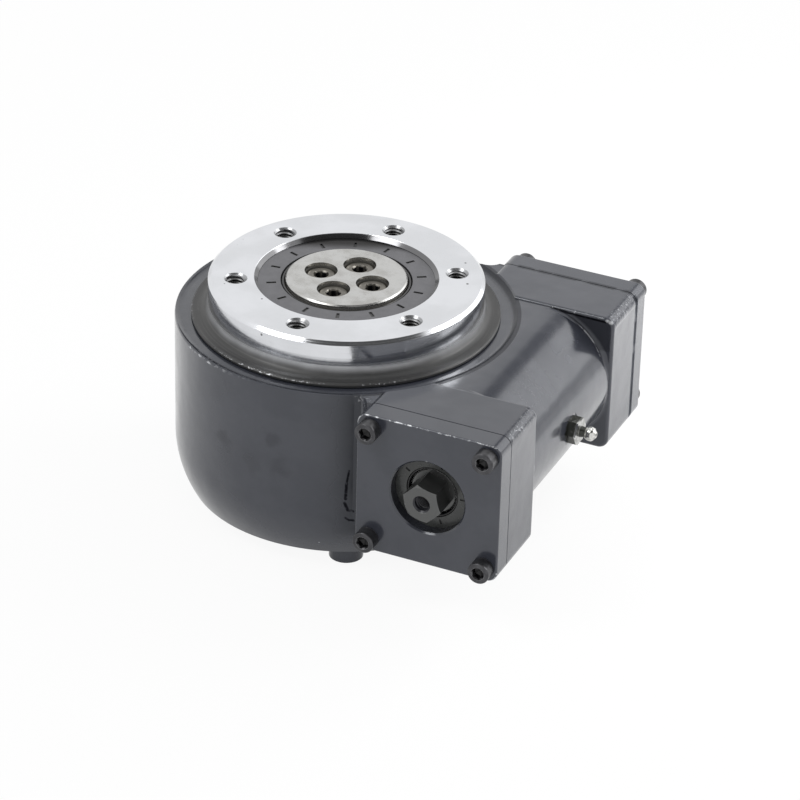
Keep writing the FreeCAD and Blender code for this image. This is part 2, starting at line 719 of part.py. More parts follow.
# Straight grease nipple: thread, hexagon, waist and the rounded head that a coupler grips.
def grease_nipple():
    waist_radius = 0.68 * nipple_head_radius
    waist_end = nipple_hex_height + 0.8 * nipple_head_radius
    head_middle = waist_end + 0.55 * nipple_head_radius
    nose = head_middle + 0.95 * nipple_head_radius
    thread_edge = 0.16 * nipple_thread_radius
    washer_face = 0.49 * nipple_hex
    body = turned([(0, -nipple_thread_length), (nipple_thread_radius - thread_edge, -nipple_thread_length),
                   (nipple_thread_radius, thread_edge - nipple_thread_length), (nipple_thread_radius, 0),
                   (washer_face, 0), (washer_face, nipple_hex_height),
                   (1.2 * waist_radius, nipple_hex_height), (waist_radius, waist_end),
                   (nipple_head_radius, head_middle),
                   (nipple_head_radius, head_middle + 0.3 * nipple_head_radius),
                   (0.45 * nipple_head_radius, nose), (0, nose)])
    grip = Part.makeSphere(nipple_head_radius, vector(0, 0, head_middle + 0.1 * nipple_head_radius))
    grip = grip.common(cylinder(nipple_head_radius, waist_end, head_middle + 0.6 * nipple_head_radius))
    nipple = body.fuse([grip, hexagon(nipple_hex, 0, nipple_hex_height, 30)])
    passage = cylinder(0.2 * nipple_head_radius, -nipple_thread_length - overrun, nose + overrun)
    nipple = rotated(nipple.cut(passage).removeSplitter(), vector(0, 1, 0), 90)
    return moved(nipple, nipple_seat, 0, worm_height)


def spacer(outer_radius, inner_radius):
    return tube(outer_radius, inner_radius, lower_bearing_top, upper_bearing_bottom)


def save(name, shape):
    shape.exportStep("parts/" + name + ".step")


def save_bearing(name, pieces, place):
    for piece, shape in pieces.items():
        save(name + "_" + piece, place(shape))


save("housing", housing())
save("output_ring", output_ring())
save("worm_wheel", worm_wheel())
save("wheel_lock_screws", wheel_lock_screws())
save("retaining_ring", retaining_ring())
save("inner_spacer", spacer(main_land_inner - seat_gap, main_bearing_bore / 2))
save("outer_spacer", spacer(main_bearing_outside / 2, main_land_outer + seat_gap))
save("hub_cap", hub_cap())
save("hub_cap_screws", hub_cap_screws())
save("hub_seal", hub_seal())
save("dust_seal", dust_seal())
save("worm_shaft", worm_shaft())
save("front_cover", front_cover())
save("rear_cover", rear_cover())
save("front_gasket", gasket(-1))
save("rear_gasket", gasket(1))
save("front_cover_screws", cover_screws(-1))
save("rear_cover_screws", cover_screws(1))
save("worm_seal", worm_seal())
save("grease_nipple", grease_nipple())

main_bearing = ball_bearing(main_bearing_bore, main_bearing_outside, main_bearing_width,
                            main_ball_diameter, main_ball_count)
worm_bearing = ball_bearing(worm_bearing_bore, worm_bearing_outside, worm_bearing_width,
                            worm_ball_diameter, worm_ball_count)
upper_middle = (upper_bearing_top + upper_bearing_bottom) / 2
lower_middle = (lower_bearing_top + lower_bearing_bottom) / 2
worm_middle = (worm_bearing_outer_end + worm_bearing_inner_end) / 2
save_bearing("upper_bearing", main_bearing, lambda shape: moved(shape, 0, 0, upper_middle))
save_bearing("lower_bearing", main_bearing, lambda shape: moved(shape, 0, 0, lower_middle))
save_bearing("front_bearing", worm_bearing, lambda shape: along_worm(moved(shape, 0, 0, -worm_middle)))
save_bearing("rear_bearing", worm_bearing, lambda shape: along_worm(moved(shape, 0, 0, worm_middle)))
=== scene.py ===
import json
import math
import bpy
import numpy as np
from mathutils import Matrix, Vector

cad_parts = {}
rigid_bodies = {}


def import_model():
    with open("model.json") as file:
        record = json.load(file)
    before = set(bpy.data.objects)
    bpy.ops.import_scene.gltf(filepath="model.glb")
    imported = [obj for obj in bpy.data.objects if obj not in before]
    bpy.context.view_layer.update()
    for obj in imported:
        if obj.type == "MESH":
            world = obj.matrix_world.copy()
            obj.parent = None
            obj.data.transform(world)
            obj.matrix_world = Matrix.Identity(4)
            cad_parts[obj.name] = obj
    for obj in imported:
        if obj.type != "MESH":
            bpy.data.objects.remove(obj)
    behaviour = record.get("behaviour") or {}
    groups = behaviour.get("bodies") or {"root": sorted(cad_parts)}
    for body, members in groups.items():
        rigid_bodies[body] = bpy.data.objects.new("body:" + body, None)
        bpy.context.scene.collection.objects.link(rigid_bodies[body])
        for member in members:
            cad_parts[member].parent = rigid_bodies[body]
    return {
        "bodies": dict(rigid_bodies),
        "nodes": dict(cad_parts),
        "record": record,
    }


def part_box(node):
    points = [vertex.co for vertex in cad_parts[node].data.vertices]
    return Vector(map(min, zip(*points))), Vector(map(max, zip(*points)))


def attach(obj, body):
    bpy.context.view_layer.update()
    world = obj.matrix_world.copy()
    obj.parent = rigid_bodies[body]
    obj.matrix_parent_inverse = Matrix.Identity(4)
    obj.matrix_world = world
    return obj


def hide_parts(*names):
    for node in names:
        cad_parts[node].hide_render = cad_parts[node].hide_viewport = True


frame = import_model()
cadNodes = frame["nodes"]
keptNames = set(cadNodes) | {body.name for body in frame["bodies"].values()}
for leftover in [o for o in bpy.data.objects if o.name not in keptNames]:
    bpy.data.objects.remove(leftover)
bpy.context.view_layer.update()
mm = 0.001


# Sockets of a node: each gets a plain value or a link.
def fill(tree, node, sockets):
    for key, value in sockets.items():
        if isinstance(value, bpy.types.NodeSocket):
            tree.links.new(value, node.inputs[key])
        else:
            node.inputs[key].default_value = value
    return node


# One node, with its own settings in props.
def put(tree, kind, sockets=None, **props):
    node = tree.nodes.new("ShaderNode" + kind)
    for key, value in props.items():
        setattr(node, key, value)
    return fill(tree, node, sockets or {})


# One sum: operation(a, b).
def calc(tree, operation, a, b=0.0, clamp=False):
    node = put(tree, "Math", {0: a, 1: b}, operation=operation, use_clamp=clamp)
    return node.outputs[0]


# One sum of vectors: operation(a, b), which is a number for a distance, a length or a dot product.
def vectorCalc(tree, operation, a, b=(0, 0, 0)):
    node = put(tree, "VectorMath", {0: a, 1: b}, operation=operation)
    return node.outputs["Value" if operation in ("DISTANCE", "LENGTH", "DOT_PRODUCT") else "Vector"]


# X, Y and Z of a vector.
def split(tree, vector):
    return put(tree, "SeparateXYZ", {0: vector}).outputs[:]


# A vector from two values, with 0 for its Z.
def pair(tree, x, y):
    return put(tree, "CombineXYZ", {0: x, 1: y}).outputs[0]


# Values linked to named sockets; an underscore stands for a space.
def plug(tree, inputs, **values):
    for key, value in values.items():
        tree.links.new(value, inputs[key.replace("_", " ")])


# The product of several values.
def times(tree, *values):
    product = values[0]
    for value in values[1:]:
        product = calc(tree, "MULTIPLY", product, value)
    return product


# The largest of several values.
def largest(tree, values):
    top = values[0]
    for value in values[1:]:
        top = calc(tree, "MAXIMUM", top, value)
    return top


# A smooth step from start to end while value goes from low to high.
def fade(tree, value, low, high, start=0.0, end=1.0):
    node = put(tree, "MapRange", {"Value": value, "From Min": low, "From Max": high,
                                  "To Min": start, "To Max": end}, interpolation_type="SMOOTHSTEP")
    return node.outputs["Result"]


# A smooth step down from 1 to 0 while value goes from low to high.
def drop(tree, value, low, high):
    return fade(tree, value, low, high, 1.0, 0.0)


# A smooth step from start to end while share goes from 0 to 1.
def ease(tree, share, start, end):
    return fade(tree, share, 0.0, 1.0, start, end)


# Colour a goes over to colour b as factor goes from 0 to 1.
def tint(tree, factor, a, b):
    node = put(tree, "Mix", {0: factor, 6: a, 7: b}, data_type="RGBA")
    return node.outputs[2]


# Noise of the point, scale in waves per metre.
def noise(tree, point, scale, detail=2.0, rough=0.5):
    node = put(tree, "TexNoise", {"Vector": point, "Scale": scale, "Detail": detail, "Roughness": rough})
    return node.outputs["Fac"]


# Noise of the point taken through a smooth step: waves holds noise's settings and step fade's.
def patchy(tree, point, waves, step):
    return fade(tree, noise(tree, point, *waves), *step)


# An empty shader group that takes vectors and then numbers, and gives numbers.
def newGroup(name, vectors, numbers, gives):
    tree = bpy.data.node_groups.new(name, "ShaderNodeTree")
    rows = ((vectors, "INPUT", "Vector"), (numbers, "INPUT", "Float"), (gives, "OUTPUT", "Float"))
    for labels, way, kind in rows:
        for label in labels:
            tree.interface.new_socket(name=label, in_out=way, socket_type="NodeSocket" + kind)
    return tree, tree.nodes.new("NodeGroupInput").outputs, tree.nodes.new("NodeGroupOutput").inputs


# A group placed in a material.
def use(tree, group, **sockets):
    node = tree.nodes.new("ShaderNodeGroup")
    node.node_tree = group
    return fill(tree, node, sockets).outputs


# Edge wear: how far a rounded normal leans away from the true one, broken up by noise.
def edgeWearGroup(samples=6, leanStep=(0.01, 0.12), detail=4.0, rough=0.7, gain=8.0):
    tree, takes, gives = newGroup("edgeWear", ["Point"], ["Width", "Scale", "Amount"], ["Mask"])
    rounded = put(tree, "Bevel", {"Radius": takes["Width"]}, samples=samples).outputs[0]
    along = vectorCalc(tree, "DOT_PRODUCT", rounded, put(tree, "NewGeometry").outputs["Normal"])
    lean = fade(tree, calc(tree, "SUBTRACT", 1.0, along), *leanStep)
    patches = noise(tree, takes["Point"], takes["Scale"], detail, rough)
    above = calc(tree, "SUBTRACT", calc(tree, "ADD", patches, takes["Amount"]), 1.0)
    plug(tree, gives, Mask=times(tree, lean, calc(tree, "MULTIPLY", above, gain, clamp=True)))
    return tree


# Tilt: 0 on a face square to an axis and 1 halfway round its edge, from the largest part of the normal.
def edgeTiltGroup(tiltStep=(0.985, 0.88)):
    tree, _, gives = newGroup("edgeTilt", [], [], ["Mask"])
    normal = put(tree, "NewGeometry").outputs["Normal"]
    most = largest(tree, split(tree, vectorCalc(tree, "ABSOLUTE", normal)))
    plug(tree, gives, Mask=fade(tree, most, *tiltStep))
    return tree


# Zone: 1 inside a box and falling to 0 over a soft margin, from the largest distance past any of its sides.
def zoneGroup():
    tree, takes, gives = newGroup("zone", ["Point", "Low", "High"], ["Soft"], ["Mask"])
    under = vectorCalc(tree, "SUBTRACT", takes["Low"], takes["Point"])
    over = vectorCalc(tree, "SUBTRACT", takes["Point"], takes["High"])
    outside = largest(tree, split(tree, vectorCalc(tree, "MAXIMUM", under, over)))
    plug(tree, gives, Mask=drop(tree, outside, 0.0, takes["Soft"]))
    return tree


# Stroke: 1 near the straight line between two points. The nearest place on the line is From + share * line, where
# line is To - From and share is dot(Point - From, line) / dot(line, line), kept in 0 to 1.
def strokeGroup(core=0.4):
    tree, takes, gives = newGroup("stroke", ["Point", "From", "To"], ["Width"], ["Mask"])
    line = vectorCalc(tree, "SUBTRACT", takes["To"], takes["From"])
    away = vectorCalc(tree, "SUBTRACT", takes["Point"], takes["From"])
    whole = vectorCalc(tree, "DOT_PRODUCT", line, line)
    share = calc(tree, "DIVIDE", vectorCalc(tree, "DOT_PRODUCT", away, line), whole, clamp=True)
    nearest = put(tree, "VectorMath", {0: line, "Scale": share}, operation="SCALE").outputs["Vector"]
    gap = vectorCalc(tree, "DISTANCE", away, nearest)
    plug(tree, gives, Mask=drop(tree, gap, times(tree, takes["Width"], core), takes["Width"]))
    return tree


# Fine specks: round dots about random cell points, kept where the cell's own random value is low.
def specksGroup():
    tree, takes, gives = newGroup("specks", ["Point"], ["Scale", "Size", "Share"], ["Mask"])
    cells = put(tree, "TexVoronoi", {"Vector": takes["Point"], "Scale": takes["Scale"]}).outputs
    chance = put(tree, "SeparateColor", {0: cells["Color"]}).outputs
    dot = calc(tree, "LESS_THAN", cells["Distance"], times(tree, takes["Size"], chance[1]))
    kept = calc(tree, "LESS_THAN", chance[0], takes["Share"])
    plug(tree, gives, Mask=times(tree, dot, kept))
    return tree


# Cast and painted skin: shallow dents, flow of the paint and a fine orange peel, added up as one height in metres.
def castSkinGroup(dents=(34.0, 2.0, 0.5), flow=(170.0, 2.0), flowShare=0.10, peel=(1400.0, 1.0),
                  tone=(48.0, 3.0, 0.6)):
    tree, takes, gives = newGroup("castSkin", ["Point"], ["Dent", "Peel"], ["Height", "Tone"])
    point = takes["Point"]
    waves = calc(tree, "ADD", noise(tree, point, *dents), times(tree, noise(tree, point, *flow), flowShare))
    low = times(tree, waves, takes["Dent"])
    fine = times(tree, noise(tree, point, *peel), takes["Peel"])
    plug(tree, gives, Height=calc(tree, "ADD", low, fine), Tone=noise(tree, point, *tone))
    return tree


# Lathe marks: noise of the distance from the axis and the height alone, so it runs in rings.
def turnedLinesGroup(detail=2.0):
    tree, takes, gives = newGroup("turnedLines", ["Point"], ["Pitch"], ["Height", "Radius", "Up"])
    x, y, up = split(tree, takes["Point"])
    radius = calc(tree, "SQRT", calc(tree, "ADD", times(tree, x, x), times(tree, y, y)))
    per = calc(tree, "DIVIDE", 1.0, takes["Pitch"])
    lines = put(tree, "TexNoise", {"Vector": pair(tree, radius, up), "Scale": per, "Detail": detail},
                noise_dimensions="2D")
    plug(tree, gives, Height=lines.outputs["Fac"], Radius=radius, Up=up)
    return tree


# Places on a circle about Z: the angle is folded into one step, then the distance to that step's place is
# sqrt((r cos a - circle)^2 + (r sin a)^2), and r sin a alone says how far the point lies to the side.
def placesGroup():
    tree, takes, gives = newGroup("places", ["Point"], ["Circle", "Step", "Start"],
                                  ["Distance", "Sideways", "Radius"])
    x, y, _ = split(tree, takes["Point"])
    radius = vectorCalc(tree, "LENGTH", pair(tree, x, y))
    angle = calc(tree, "SUBTRACT", calc(tree, "ARCTAN2", y, x), takes["Start"])
    half = times(tree, takes["Step"], 0.5)
    folded = put(tree, "Math", {0: angle, 1: half, 2: times(tree, half, -1.0)}, operation="WRAP").outputs[0]
    sideways = times(tree, radius, calc(tree, "SINE", folded))
    outwards = calc(tree, "SUBTRACT", times(tree, radius, calc(tree, "COSINE", folded)), takes["Circle"])
    plug(tree, gives, Distance=vectorCalc(tree, "LENGTH", pair(tree, outwards, sideways)),
         Sideways=calc(tree, "ABSOLUTE", sideways), Radius=radius)
    return tree


edgeWear = edgeWearGroup()
edgeTilt = edgeTiltGroup()
zone = zoneGroup()
stroke = strokeGroup()
specks = specksGroup()
castSkin = castSkinGroup()
turnedLines = turnedLinesGroup()
places = placesGroup()
print("shader groups:", len(bpy.data.node_groups))


# A material with its Principled shader and the Object coordinates it reads.
def newMaterial(name, **plain):
    material = bpy.data.materials.new(name)
    material.use_nodes = True
    tree = material.node_tree
    shader = tree.nodes["Principled BSDF"]
    for key, value in plain.items():
        shader.inputs[key.replace("_", " ")].default_value = value
    point = put(tree, "TexCoord").outputs["Object"]
    return material, tree, shader.inputs, point


# Waves times their size in metres, as a height, become the shader's normal.
def bump(tree, inputs, waves, size=1.0):
    node = put(tree, "Bump", {"Height": times(tree, waves, size), "Distance": 1.0})
    plug(tree, inputs, Normal=node.outputs[0])


# Mask of specks; dots holds their scale, size and share.
def dotMask(tree, point, dots):
    return use(tree, specks, Point=point, **dots)["Mask"]


# Mask of one box given, with its soft margin, in millimetres.
def boxMask(tree, point, low, high, soft):
    corners = {"Low": Vector(low) * mm, "High": Vector(high) * mm}
    return use(tree, zone, Point=point, Soft=soft * mm, **corners)["Mask"]


# Mask of several strokes, each given by two ends and a width in millimetres.
def strokeMask(tree, point, strokes):
    masks = []
    for start, end, width in strokes:
        ends = {"From": Vector(start) * mm, "To": Vector(end) * mm}
        masks.append(use(tree, stroke, Point=point, Width=width * mm, **ends)["Mask"])
    return largest(tree, masks)


paintLook = dict(
    colour=(0.036, 0.0385, 0.049, 1), deep=(0.028, 0.0305, 0.040, 1), bare=(0.62, 0.63, 0.65, 1),
    shade=(0.008, 0.008, 0.010, 1), specular=(0.90, 0.935, 1.0, 1), coat=0.5, coatRough=0.12,
    dent=0.0008, plateDent=0.08, peel=0.0000025, pit=0.0004, toneStep=(0.35, 0.65),
    glossStep=(0.3, 0.7, 0.24, 0.14),
    # scale, detail and roughness of a noise; with a step where there is a second bracket
    patches=(420.0, 4.0, 0.7), lumps=(460.0, 3.0, 0.65), wobble=((240.0, 3.0), (0.2, 0.8, -2.5 * mm, 2.5 * mm)),
    # grime: noise that breaks up the painted shade along the rear cover's seams
    grimeAndShade=((110.0, 3.0), (0.36, 0.50)), ragged=((620.0, 2.0), (0.30, 0.48, 0.45, 1.0)),
    dots=dict(Scale=230.0, Size=0.12, Share=0.012), flakeStep=(0.57, 0.68), beadHighlightStep=(0.36, 0.56),
    # how strongly each mark shows, the painted highlights and painted shade among them
    edgeShare=0.8, flakeShare=0.4, dotShare=0.3, beadHighlightShare=0.7, bareMetal=0.8, bareDull=0.2,
    shadeShare=0.6, shadeLineDepth=1.6, cornerShadeDepth=0.9, recessShadeDepth=1.2, seamShare=(0.5, 0.9), darkSpotCore=0.2,
    darkSpotsAndShadeDull=0.15, darkSpotsAndShadeCoat=0.8, wearGain=9.0, wearSoft=0.3,
    # steps of the plates, and of the painted shade in the room under the collar and in the bore around the shaft
    plateSide=(36 * mm, 37 * mm), plateSeat=(72.0 * mm, 72.4 * mm),
    recessInner=(74.6 * mm, 76.6 * mm), recessOuter=(79.2 * mm, 79.5 * mm), recessTop=(93.2 * mm, 93.3 * mm),
    recessSide=(20 * mm, 45 * mm), boreMiddle=(79 * mm, -76 * mm, 60 * mm), boreReach=(19.0 * mm, 19.5 * mm),
    boreMouth=(-82.4 * mm, -81.4 * mm), boreFoot=(41 * mm, 49 * mm, 0.25, 1.0),
    # in millimetres: boxes by two corners and a margin (worn edges and the painted rim highlight: an amount),
    # strokes by two ends and a width
    wornEdgesAndRimHighlight=(((50, -84, 93.35), (112, -82.5, 95), 0.53), ((44, -84, 89), (50.5, -82.5, 95), 0.58),
               ((108, -84, 25), (114, -82.2, 31), 0.58), ((82, 43, 92.9), (108, 44.9, 95), 0.42),
               # the last box, on the drum's top front rim, is bare metal that stands in for the rim's highlight: a
               # painted highlight
               ((-50, -80, 91.05), (4, -45, 91.9), 0.50)),
    flakes=(((110, -70, 91), (114, -48, 95), 2.0), ((110, 48, 90), (114, 69, 95), 2.0),
            ((38, -74, 90), (44, -69, 95), 2.0)),
    # seams: painted shade in the gap between the rear cover and its block
    seam=((40, 71.0, 20), (116, 73.6, 96), 0.5), sideSeam=((111.5, 70.6, 20), (116, 73.6, 93.5), 0.4),
    # painted shade in the corner of the rear block's face above the tunnel
    stainAndShade=((92, 43.2, 78), (111, 44.3, 92.5), 1.0),
    # black lines of painted shade: on the drum beside the front cover, and along the top of the rear block's face
    shadeLines=(((35.2, -69.0, 54.1), (34.3, -69.5, 47.5), 0.7), ((34.3, -69.5, 47.5), (34.0, -69.6, 39.7), 1.0),
            ((33.7, -69.8, 37.6), (34.9, -69.1, 33.9), 1.0), ((34.9, -69.1, 33.9), (37.1, -68.2, 33.4), 0.9),
            ((33.9, -69.6, 29.9), (35.5, -68.7, 28.6), 0.7), ((35.5, -68.7, 28.6), (37.4, -68.2, 28.7), 0.8),
            ((82.5, 43.7, 93.0), (90.0, 43.7, 92.6), 0.9), ((90.0, 43.9, 92.3), (109.0, 44.0, 92.0), 0.7)),
    # bright lines of painted highlight, as bare metal, along the bead where the tunnel meets the rear block and at
    # the block's top corner
    beadHighlights=(((93.4, 43.0, 89.6), (99.2, 42.6, 86.3), 0.45), ((99.2, 42.6, 86.3), (104.2, 42.3, 81.5), 0.5),
               ((104.2, 42.3, 81.5), (108.1, 41.4, 75.7), 0.45), ((109.6, 44.1, 92.7), (111.4, 45.0, 91.6), 1.1)),
    darkSpots=((-24.3, -73.6, 56.3, 7.0, 0.5), (0.95, -77.5, 65.7, 6.0, 0.5),  # middle, size, amount
             (-8.2, -77.1, 50.7, 8.0, 0.3), (5.0, -77.3, 52.4, 7.0, 0.4)))


# Gloss dark paint over cast iron: two close tones under a clear coat, bare metal in broken lines on the worn edges
# and in flakes on three corners, bare metal also as painted highlights on the drum's top rim and along the tunnel's
# bead into the rear block, black lines and seams of painted shade, painted shade in the room under the collar, in
# the worm's bore and in a corner of the rear block, and a few soft dark spots, each a fade of the distance from its
# middle.
def makePaint(look):
    material, tree, inputs, point = newMaterial("housingPaint", Coat_Roughness=look["coatRough"],
                                                Specular_Tint=look["specular"])
    across, along, up = split(tree, point)
    plate = times(tree, fade(tree, across, *look["plateSide"]),
                  fade(tree, calc(tree, "ABSOLUTE", along), *look["plateSeat"]))
    dent = times(tree, ease(tree, plate, 1.0, look["plateDent"]), look["dent"])
    skin = use(tree, castSkin, Point=point, Dent=dent, Peel=look["peel"])

    # bare metal: wear, and painted highlights on the drum's top rim and along the tunnel's bead
    patches = noise(tree, point, *look["patches"])
    worn = []
    # bare metal in broken lines along the worn edges; on the drum's top rim it is a painted highlight
    for low, high, amount in look["wornEdgesAndRimHighlight"]:
        above = calc(tree, "SUBTRACT", calc(tree, "ADD", patches, amount), 1.0)
        broken = calc(tree, "MULTIPLY", above, look["wearGain"], clamp=True)
        worn.append(times(tree, broken, boxMask(tree, point, low, high, look["wearSoft"])))
    edgeWearAndRimHighlight = times(tree, largest(tree, worn), use(tree, edgeTilt)["Mask"])
    corners = largest(tree, [boxMask(tree, point, *box) for box in look["flakes"]])
    lumps = noise(tree, point, *look["lumps"])
    flakes = times(tree, corners, fade(tree, lumps, *look["flakeStep"]))
    dots = dotMask(tree, point, look["dots"])
    # painted highlight along the tunnel's bead into the rear block, as bare metal
    beadHighlit = times(tree, strokeMask(tree, point, look["beadHighlights"]), fade(tree, patches, *look["beadHighlightStep"]))
    bare = largest(tree, [times(tree, edgeWearAndRimHighlight, look["edgeShare"]), times(tree, flakes, look["flakeShare"]),
                          times(tree, dots, look["dotShare"]), times(tree, beadHighlit, look["beadHighlightShare"])])

    # dark spots, and painted shade in lines, seams, a corner, the collar's room and the bore
    wobble = patchy(tree, point, *look["wobble"])
    spots = []
    # soft dark spots on the drum's front, each a fade from its middle
    for x, y, z, size, amount in look["darkSpots"]:
        gap = calc(tree, "ADD", vectorCalc(tree, "DISTANCE", point, Vector((x, y, z)) * mm), wobble)
        spots.append(fade(tree, gap, look["darkSpotCore"] * size * mm, size * mm, amount, 0.0))
    # painted shade along the rear cover's seam, broken up by noise
    seamShadeNoise = patchy(tree, point, *look["grimeAndShade"])
    sideSeam = times(tree, boxMask(tree, point, *look["sideSeam"]), ease(tree, seamShadeNoise, *look["seamShare"]))
    # painted shade: black lines, and the rear cover's seam on the right side
    broken = times(tree, strokeMask(tree, point, look["shadeLines"]), patchy(tree, point, *look["ragged"]))
    lineAndSeamShade = largest(tree, [broken, sideSeam])
    radius = vectorCalc(tree, "LENGTH", pair(tree, across, along))
    # painted shade in the room under the collar, on the side towards the blocks
    recessShade = times(tree, fade(tree, radius, *look["recessInner"]), drop(tree, radius, *look["recessOuter"]),
                   drop(tree, up, *look["recessTop"]), fade(tree, across, *look["recessSide"]))
    # painted shade in the worm's bore in the front cover, lighter towards its foot
    bore = times(tree, drop(tree, vectorCalc(tree, "DISTANCE", point, look["boreMiddle"]), *look["boreReach"]),
                 fade(tree, along, *look["boreMouth"]), fade(tree, up, *look["boreFoot"]))
    # painted shade: black lines, the collar's room, the bore, the rear block's corner and the seam
    spots += [times(tree, lineAndSeamShade, look["shadeLineDepth"]), times(tree, recessShade, look["recessShadeDepth"]), bore,
              times(tree, boxMask(tree, point, *look["stainAndShade"]), look["cornerShadeDepth"]),
              times(tree, boxMask(tree, point, *look["seam"]), seamShadeNoise)]
    darkSpotsAndShade = largest(tree, spots)

    paint = tint(tree, fade(tree, skin["Tone"], *look["toneStep"]), look["deep"], look["colour"])
    paint = tint(tree, times(tree, darkSpotsAndShade, look["shadeShare"]), paint, look["shade"])
    gloss = fade(tree, skin["Tone"], *look["glossStep"])
    dull = calc(tree, "ADD", times(tree, bare, look["bareDull"]), times(tree, darkSpotsAndShade, look["darkSpotsAndShadeDull"]))
    spoilt = largest(tree, [bare, times(tree, darkSpotsAndShade, look["darkSpotsAndShadeCoat"])])
    plug(tree, inputs, Base_Color=tint(tree, bare, paint, look["bare"]), Roughness=calc(tree, "ADD", gloss, dull),
         # the painted shade lines and seam take metal on, so that they reflect almost nothing
         Metallic=largest(tree, [times(tree, bare, look["bareMetal"]), lineAndSeamShade]),
         Coat_Weight=ease(tree, spoilt, look["coat"], 0.0))
    bump(tree, inputs, calc(tree, "ADD", skin["Height"], times(tree, corners, lumps, look["pit"])))
    return material


ringLook = dict(
    steel=(0.745, 0.757, 0.785, 1), dull=(0.68, 0.692, 0.715, 1), speck=(0.10, 0.10, 0.10, 1),
    # edge: painted shade on the chamfer of the seal's pocket; hole: painted shade in the tapped holes
    paint=(0.030, 0.030, 0.030, 1), streak=(0.070, 0.070, 0.068, 1), edge=(0.17, 0.17, 0.175, 1),
    hole=(0.15, 0.15, 0.15, 1), linePitch=0.00035, lineHeight=0.0000010, lineRough=(0.3, 0.7, 0.11, 0.19),
    tone=((48.0, 3.0), (0.35, 0.65)), dots=dict(Scale=330.0, Size=0.24, Share=0.06), dotShare=0.85,
    painted=(94.6 * mm, 100.6 * mm), wander=((90.0, 3.0), (0.3, 0.7, -0.2 * mm, 0.2 * mm)),
    flare=(100.6 * mm, 95.6 * mm), flareDull=0.26,
    streakPitch=1.1 * mm, streakStep=(0.45, 0.75), smears=((40.0, 2.0), (0.45, 0.7)),
    rimRadius=(69.3 * mm, 69.4 * mm), rimLow=(92.7 * mm, 92.9 * mm), rimHigh=(93.5 * mm, 93.7 * mm),
    nicks=((900.0, 2.0), (0.55, 0.64)), nickAreas=((22.0, 1.0), (0.46, 0.58, 0.0, 0.6)),
    holes=dict(Circle=50 * mm, Step=math.radians(60), Start=math.radians(30)), holeDull=0.25,
    holeMouth=(5.2 * mm, 5.3 * mm), holeDepth=(109.9 * mm, 106.5 * mm, 0.6, 1.0),
    pocketInner=(39.5 * mm, 39.7 * mm), pocketOuter=(41.75 * mm, 41.95 * mm), pocketTop=(109.8 * mm, 109.9 * mm))


# Turned ring: faced steel with lathe rings and a few dark pits. Down the flare it goes over to dark paint with
# grey streaks, the collar's rim is rubbed bare in dots, and painted shade darkens the tapped holes and the seal's
# pocket's chamfer.
def makeRingSteel(look):
    material, tree, inputs, point = newMaterial("turnedSteel")
    lines, radius, up = use(tree, turnedLines, Point=point, Pitch=look["linePitch"])
    streaks = use(tree, turnedLines, Point=point, Pitch=look["streakPitch"])["Height"]
    painted = drop(tree, calc(tree, "ADD", up, patchy(tree, point, *look["wander"])), *look["painted"])
    rubbed = times(tree, fade(tree, radius, *look["rimRadius"]), fade(tree, up, *look["rimLow"]),
                   drop(tree, up, *look["rimHigh"]), patchy(tree, point, *look["nicks"]),
                   patchy(tree, point, *look["nickAreas"]))
    skin = calc(tree, "SUBTRACT", painted, rubbed, clamp=True)
    toHole = use(tree, places, Point=point, **look["holes"])["Distance"]
    # painted shade in the tapped holes, darker deeper down
    inHole = times(tree, drop(tree, toHole, *look["holeMouth"]), fade(tree, up, *look["holeDepth"]))
    # painted shade on the chamfer of the seal's pocket
    pocketShade = times(tree, drop(tree, up, *look["pocketTop"]), fade(tree, radius, *look["pocketInner"]),
                   drop(tree, radius, *look["pocketOuter"]))
    bare = tint(tree, patchy(tree, point, *look["tone"]), look["dull"], look["steel"])
    bare = tint(tree, times(tree, dotMask(tree, point, look["dots"]), look["dotShare"]), bare, look["speck"])
    bare = tint(tree, inHole, tint(tree, pocketShade, bare, look["edge"]), look["hole"])
    smear = times(tree, fade(tree, streaks, *look["streakStep"]), patchy(tree, point, *look["smears"]))
    paint = tint(tree, smear, look["paint"], look["streak"])
    flare = fade(tree, up, *look["flare"])
    dull = calc(tree, "ADD", times(tree, flare, look["flareDull"]), times(tree, inHole, look["holeDull"]))
    plug(tree, inputs, Base_Color=tint(tree, skin, bare, paint), Metallic=calc(tree, "SUBTRACT", 1.0, skin),
         Roughness=calc(tree, "ADD", fade(tree, lines, *look["lineRough"]), dull))
    bump(tree, inputs, lines, look["lineHeight"])
    return material


# bore: brown painted shade in the counterbores below the face
hubLook = dict(steel=(0.54, 0.54, 0.53, 1), stainAndShade=(0.44, 0.435, 0.42, 1), bore=(0.17, 0.16, 0.14, 1),
               boreDepth=(106.5 * mm, 109.2 * mm), boreMetal=0.5, blotches=((130.0, 4.0, 0.65), (0.38, 0.68)),
               dots=dict(Scale=480.0, Size=0.2, Share=0.03), dotShare=0.5, rough=(0.2, 0.34),
               linePitch=0.0003, lineHeight=0.0000015)


